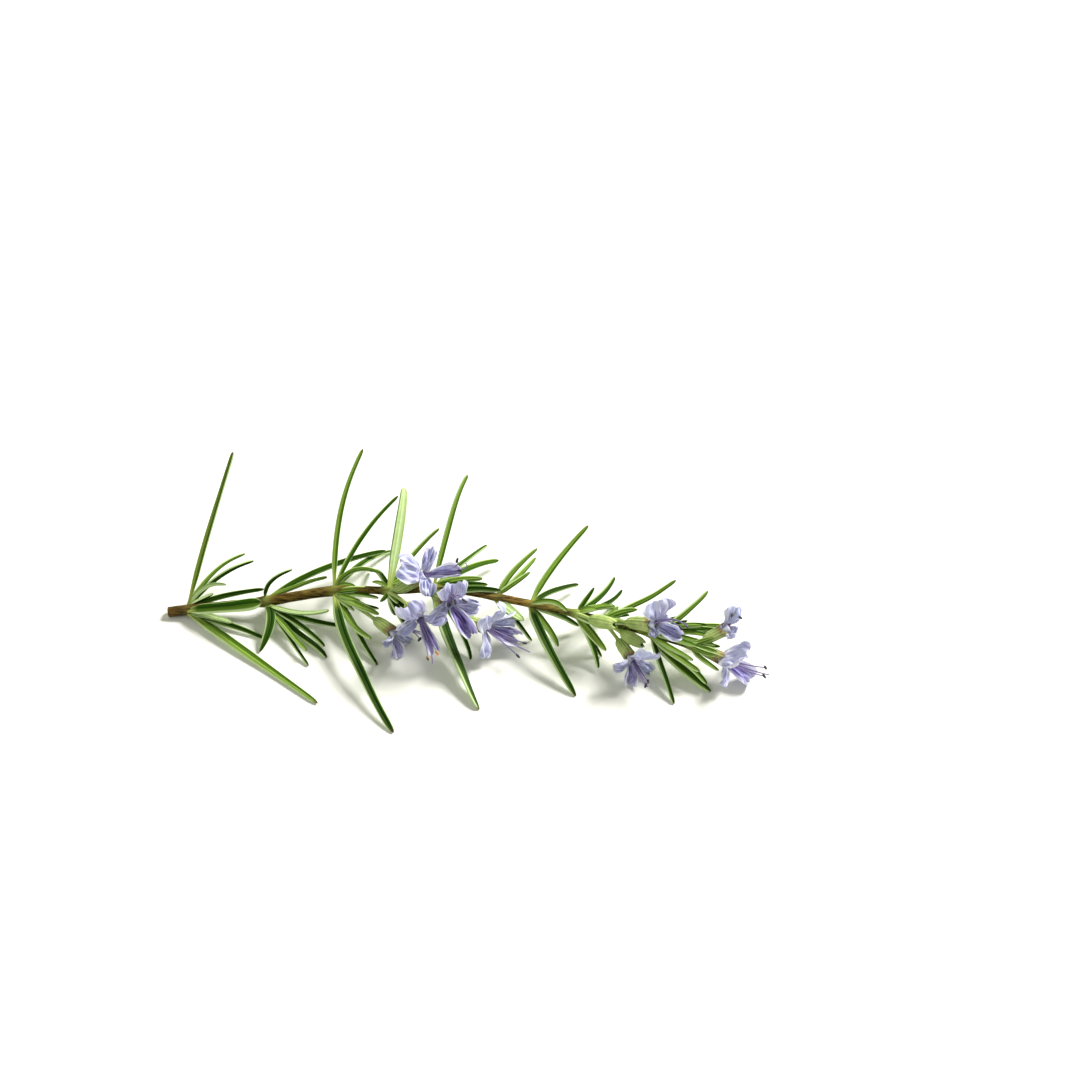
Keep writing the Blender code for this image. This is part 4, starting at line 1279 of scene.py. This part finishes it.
@dataclass
class Corolla:
    """An open flower: a pale tube, an upper lip, two side lobes and a lower lip, with two long
    stamens and a style that arch out of its mouth.

    The tube has heights, up outside and down inside, and the radii at three of them; a thread
    has its side, its share of the reach and its share of the rise.
    """
    form: Flower
    heights: tuple = (-4.6, -4.0, -3.0, -2.0, -1.0, -0.3, 0.15, 0.2, -0.3, -1.0, -2.0, -3.0)
    inside_from: int = 7
    flare: tuple = ((-4.6, -2.0, 0.2), (0.85, 0.95, 1.35))
    wall: float = 0.25
    around: int = 28
    thread: float = 0.19
    threads: tuple = ((-1.0, 1.0, 1.0), (1.0, 0.94, 0.9), (0.0, 1.12, 1.15))
    reach: float = 9.0
    rise: float = 4.5
    anther: float = 0.75

    def lobes(self, jitter: random.Random) -> list[Lobe]:
        """The lobes, each a little differently turned and open.

        Args:
            jitter: The source of how far each lobe turns and opens.

        Returns:
            The lobes, the upper one first.
        """
        made = []
        upper, *others = self.form.lobes
        for lobe in (replace(upper, open_to=self.form.hood), *others):
            opened = jitter.uniform(-8.0, 8.0)
            made.append(replace(lobe, turn=lobe.turn + jitter.uniform(-6.0, 6.0),
                                open_to=lobe.open_to + opened))
        return made

    def add_tube_to(self, skin: Skin, place: Place) -> None:
        """Add the tube: a surface of revolution that flares to its throat and turns inside.

        Args:
            skin: The piece that the tube is part of.
            place: The frame of the tube, Z to its mouth.
        """
        heights = np.array(self.heights)
        inner = np.arange(len(heights)) >= self.inside_from
        radii = np.interp(heights, *self.flare) - self.wall * inner
        angle = turns(self.around)
        points = revolved(radii[:, None] * (1 + 0.05 * np.cos(4 * angle + 0.6)), angle,
                          heights[:, None])
        along = np.clip(0.24 + 0.05 * heights, 0.0, 1.0)
        skin.rings(place.put(points), painted(points.shape[:2], 0.5 + 0.5 * np.cos(angle),
                                              along[:, None], 0.0, 0.3))

    def add_threads_to(self, skin: Skin, place: Place, draw: Draw) -> None:
        """Add the stamens and the style: thin tubes on an arc out of the mouth, with anthers.

        Args:
            skin: The piece that they are part of.
            place: The frame of the open flower.
            draw: The source of their sway.
        """
        form = self.form
        t, share = np.linspace(0.0, 1.0, 22), np.linspace(-1.0, 1.0, 9)
        for side, reach, rise in self.threads:
            sway = draw.normal(size=2) * 0.35
            bend = self.rise * form.size * rise * form.rise * np.sin(math.pi * t * 0.62)
            line = np.stack((side * (0.35 + 0.9 * t) + sway[0] * t ** 2, 0.2 + bend,
                             -0.5 + self.reach * form.size * reach * form.reach * t
                             + sway[1] * t ** 2), axis=-1)
            skin.tube(place.put(line), self.thread * (1.15 - 0.4 * t), 8, (0.0, 0.5, 0.0, 0.0))
            if side:
                way = unit(np.array((side * 0.5, -0.9, 0.5)) + draw.normal(size=3) * 0.3)
                body = line[-1] + share[:, None] * way * self.anther
                skin.tube(place.put(body), 0.05 + 0.3 * np.sqrt(1 - share ** 2 * 0.98), 10,
                          (0.0, 1.0, 1.0, form.pollen))

    def build(self, place: Array, jitter: random.Random, draw: Draw, petal: Material,
              stamen: Material) -> None:
        """Make the flower's petals and its stamens.

        Args:
            place: The whorl's place on the stem, mm.
            jitter: The source of how far each lobe opens.
            draw: The source of ruffles and sway.
            petal: The petals' material.
            stamen: The stamens' material.
        """
        mouth, along = self.form.ends(place)
        upward = np.array(self.form.upward)
        petals, threads = Skin(), Skin()
        self.add_tube_to(petals, Place.looking(mouth, along, upward))
        face = Place.looking(mouth, np.array(self.form.facing), upward)
        for lobe in self.lobes(jitter):
            Petal(lobe, self.form.size, self.form.deep).add_to(petals, face, draw)
        name = f"corolla_{self.form.number}"
        petals.piece(f"{name}_petals", petal, "petal_lilac", name)
        self.add_threads_to(threads, face, draw)
        threads.piece(f"{name}_stamens", stamen, "petal_lilac")


@dataclass
class Whorl:
    """The leaves and calyces that grow from one place on the stem."""
    name: str
    leaves: list[Leaf]
    flowers: list[Flower]
    sunk: float = 0.7

    def build(self, stem: Stem, draw: Draw, leaf: Material, down: Material) -> None:
        """Make the whorl's leaves as one piece and its calyces as another.

        Args:
            stem: The stem that it grows from.
            draw: The source of small irregularities.
            leaf: The leaves' material.
            down: The calyces' material.
        """
        place, along, radius = stem.at(self.name)
        blades = Skin()
        for form in self.leaves:
            reach = np.array(form.tip)
            out = unit(reach - along * (reach @ along))
            Blade(form).add_to(blades, place + out * radius * self.sunk, place + reach, draw)
        node = self.name if self.name == "shoot_tip" else f"leaf_{self.name}"
        blades.piece(f"{self.name}_leaves", leaf, "leaf_green", node)
        if self.flowers:
            bells = Skin()
            for form in self.flowers:
                Calyx(form).add_to(bells, place, along, radius, draw)
            bells.piece(f"{self.name}_calyces", down, "leaf_green")


@dataclass
class Studio:
    """The white floor, the soft light from behind on the right, the sky and the camera.

    A light has its name, the direction to it, its strength, softness and colour.
    """
    aim: Triple = (20.4, 28.2, 0.0)
    elevation: float = 50.0
    distance: float = 689.2
    lens: float = 85.0
    sensor: float = 36.0
    floor_side: float = 14000.0
    lights: tuple = (("key", (0.68, 0.5, 0.74), 6.5, 0.4, (1.0, 0.98, 0.94)),
                     ("fill", (-0.7, -0.5, 0.6), 0.9, 1.2, (1.0, 1.0, 0.95)))
    sky: Colour = (0.97, 1.0, 0.84, 1.0)
    sky_strength: float = 0.27

    def floor(self) -> None:
        """A large flat sheet at the height that the sprig rests on."""
        half = self.floor_side / 2 * MM
        mesh = bpy.data.meshes.new("floor")
        mesh.from_pydata([(-half, -half, 0), (half, -half, 0), (half, half, 0), (-half, half, 0)],
                         [], [(0, 1, 2, 3)])
        mesh.materials.append(FloorFinish().make())
        added("floor", mesh)

    def light(self, name: str, towards: Triple, strength: float, softness: float,
              colour: Triple) -> None:
        """A far soft light, as even over the whole surface as the light of a large window.

        Args:
            name: The light's name.
            towards: The direction from the sprig to the light.
            strength: How much it gives on a face turned to it, W/m2.
            softness: How wide it looks from the sprig, radians.
            colour: Its colour.
        """
        light = bpy.data.lights.new(name, "SUN")
        light.energy, light.angle, light.color = strength, softness, colour
        added(name, light).rotation_euler = (-Vector(towards)).to_track_quat("-Z", "Y").to_euler()

    def camera(self) -> None:
        """A long lens that looks down at the sprig from its near side."""
        data = bpy.data.cameras.new("camera")
        data.lens, data.sensor_width = self.lens, self.sensor
        rise = math.radians(self.elevation)
        back = Vector((0.0, -math.cos(rise), math.sin(rise)))
        made = added("camera", data)
        made.location = (Vector(self.aim) + back * self.distance) * MM
        made.rotation_euler = (-back).to_track_quat("-Z", "Y").to_euler()
        bpy.context.scene.camera = made

    def build(self) -> None:
        """Set up the floor, the lights, the sky and the camera."""
        self.floor()
        for light in self.lights:
            self.light(*light)
        world = bpy.data.worlds.new("sky")
        world.use_nodes = True
        sky = world.node_tree.nodes["Background"]
        sky.inputs["Color"].default_value = self.sky
        sky.inputs["Strength"].default_value = self.sky_strength
        bpy.context.scene.world = world
        bpy.context.scene.view_settings.view_transform = "Standard"
        self.camera()


def main() -> None:
    """Build the studio, the stem, the whorls and the flowers, in order."""
    logging.basicConfig(level=logging.INFO, format="%(message)s")
    Studio().build()
    jitter = random.Random(SEED)
    draw = np.random.default_rng(LOOK_SEED)
    leaf, down = LeafFinish().make(), CalyxFinish().make()
    petal, stamen = PetalFinish().make(), StamenFinish().make()
    stem = Stem()
    stem.build(BarkFinish().make())
    for name, rows in LEAVES.items():
        flowers = FLOWERS.get(name, [])
        leaves = [Leaf.read(row) for row in rows.strip().splitlines()]
        Whorl(name, leaves, flowers).build(stem, draw, leaf, down)
        place, _, _ = stem.at(name)
        for flower in flowers:
            if flower.number:
                Corolla(flower).build(place, jitter, draw, petal, stamen)


if __name__ == "__main__":
    main()
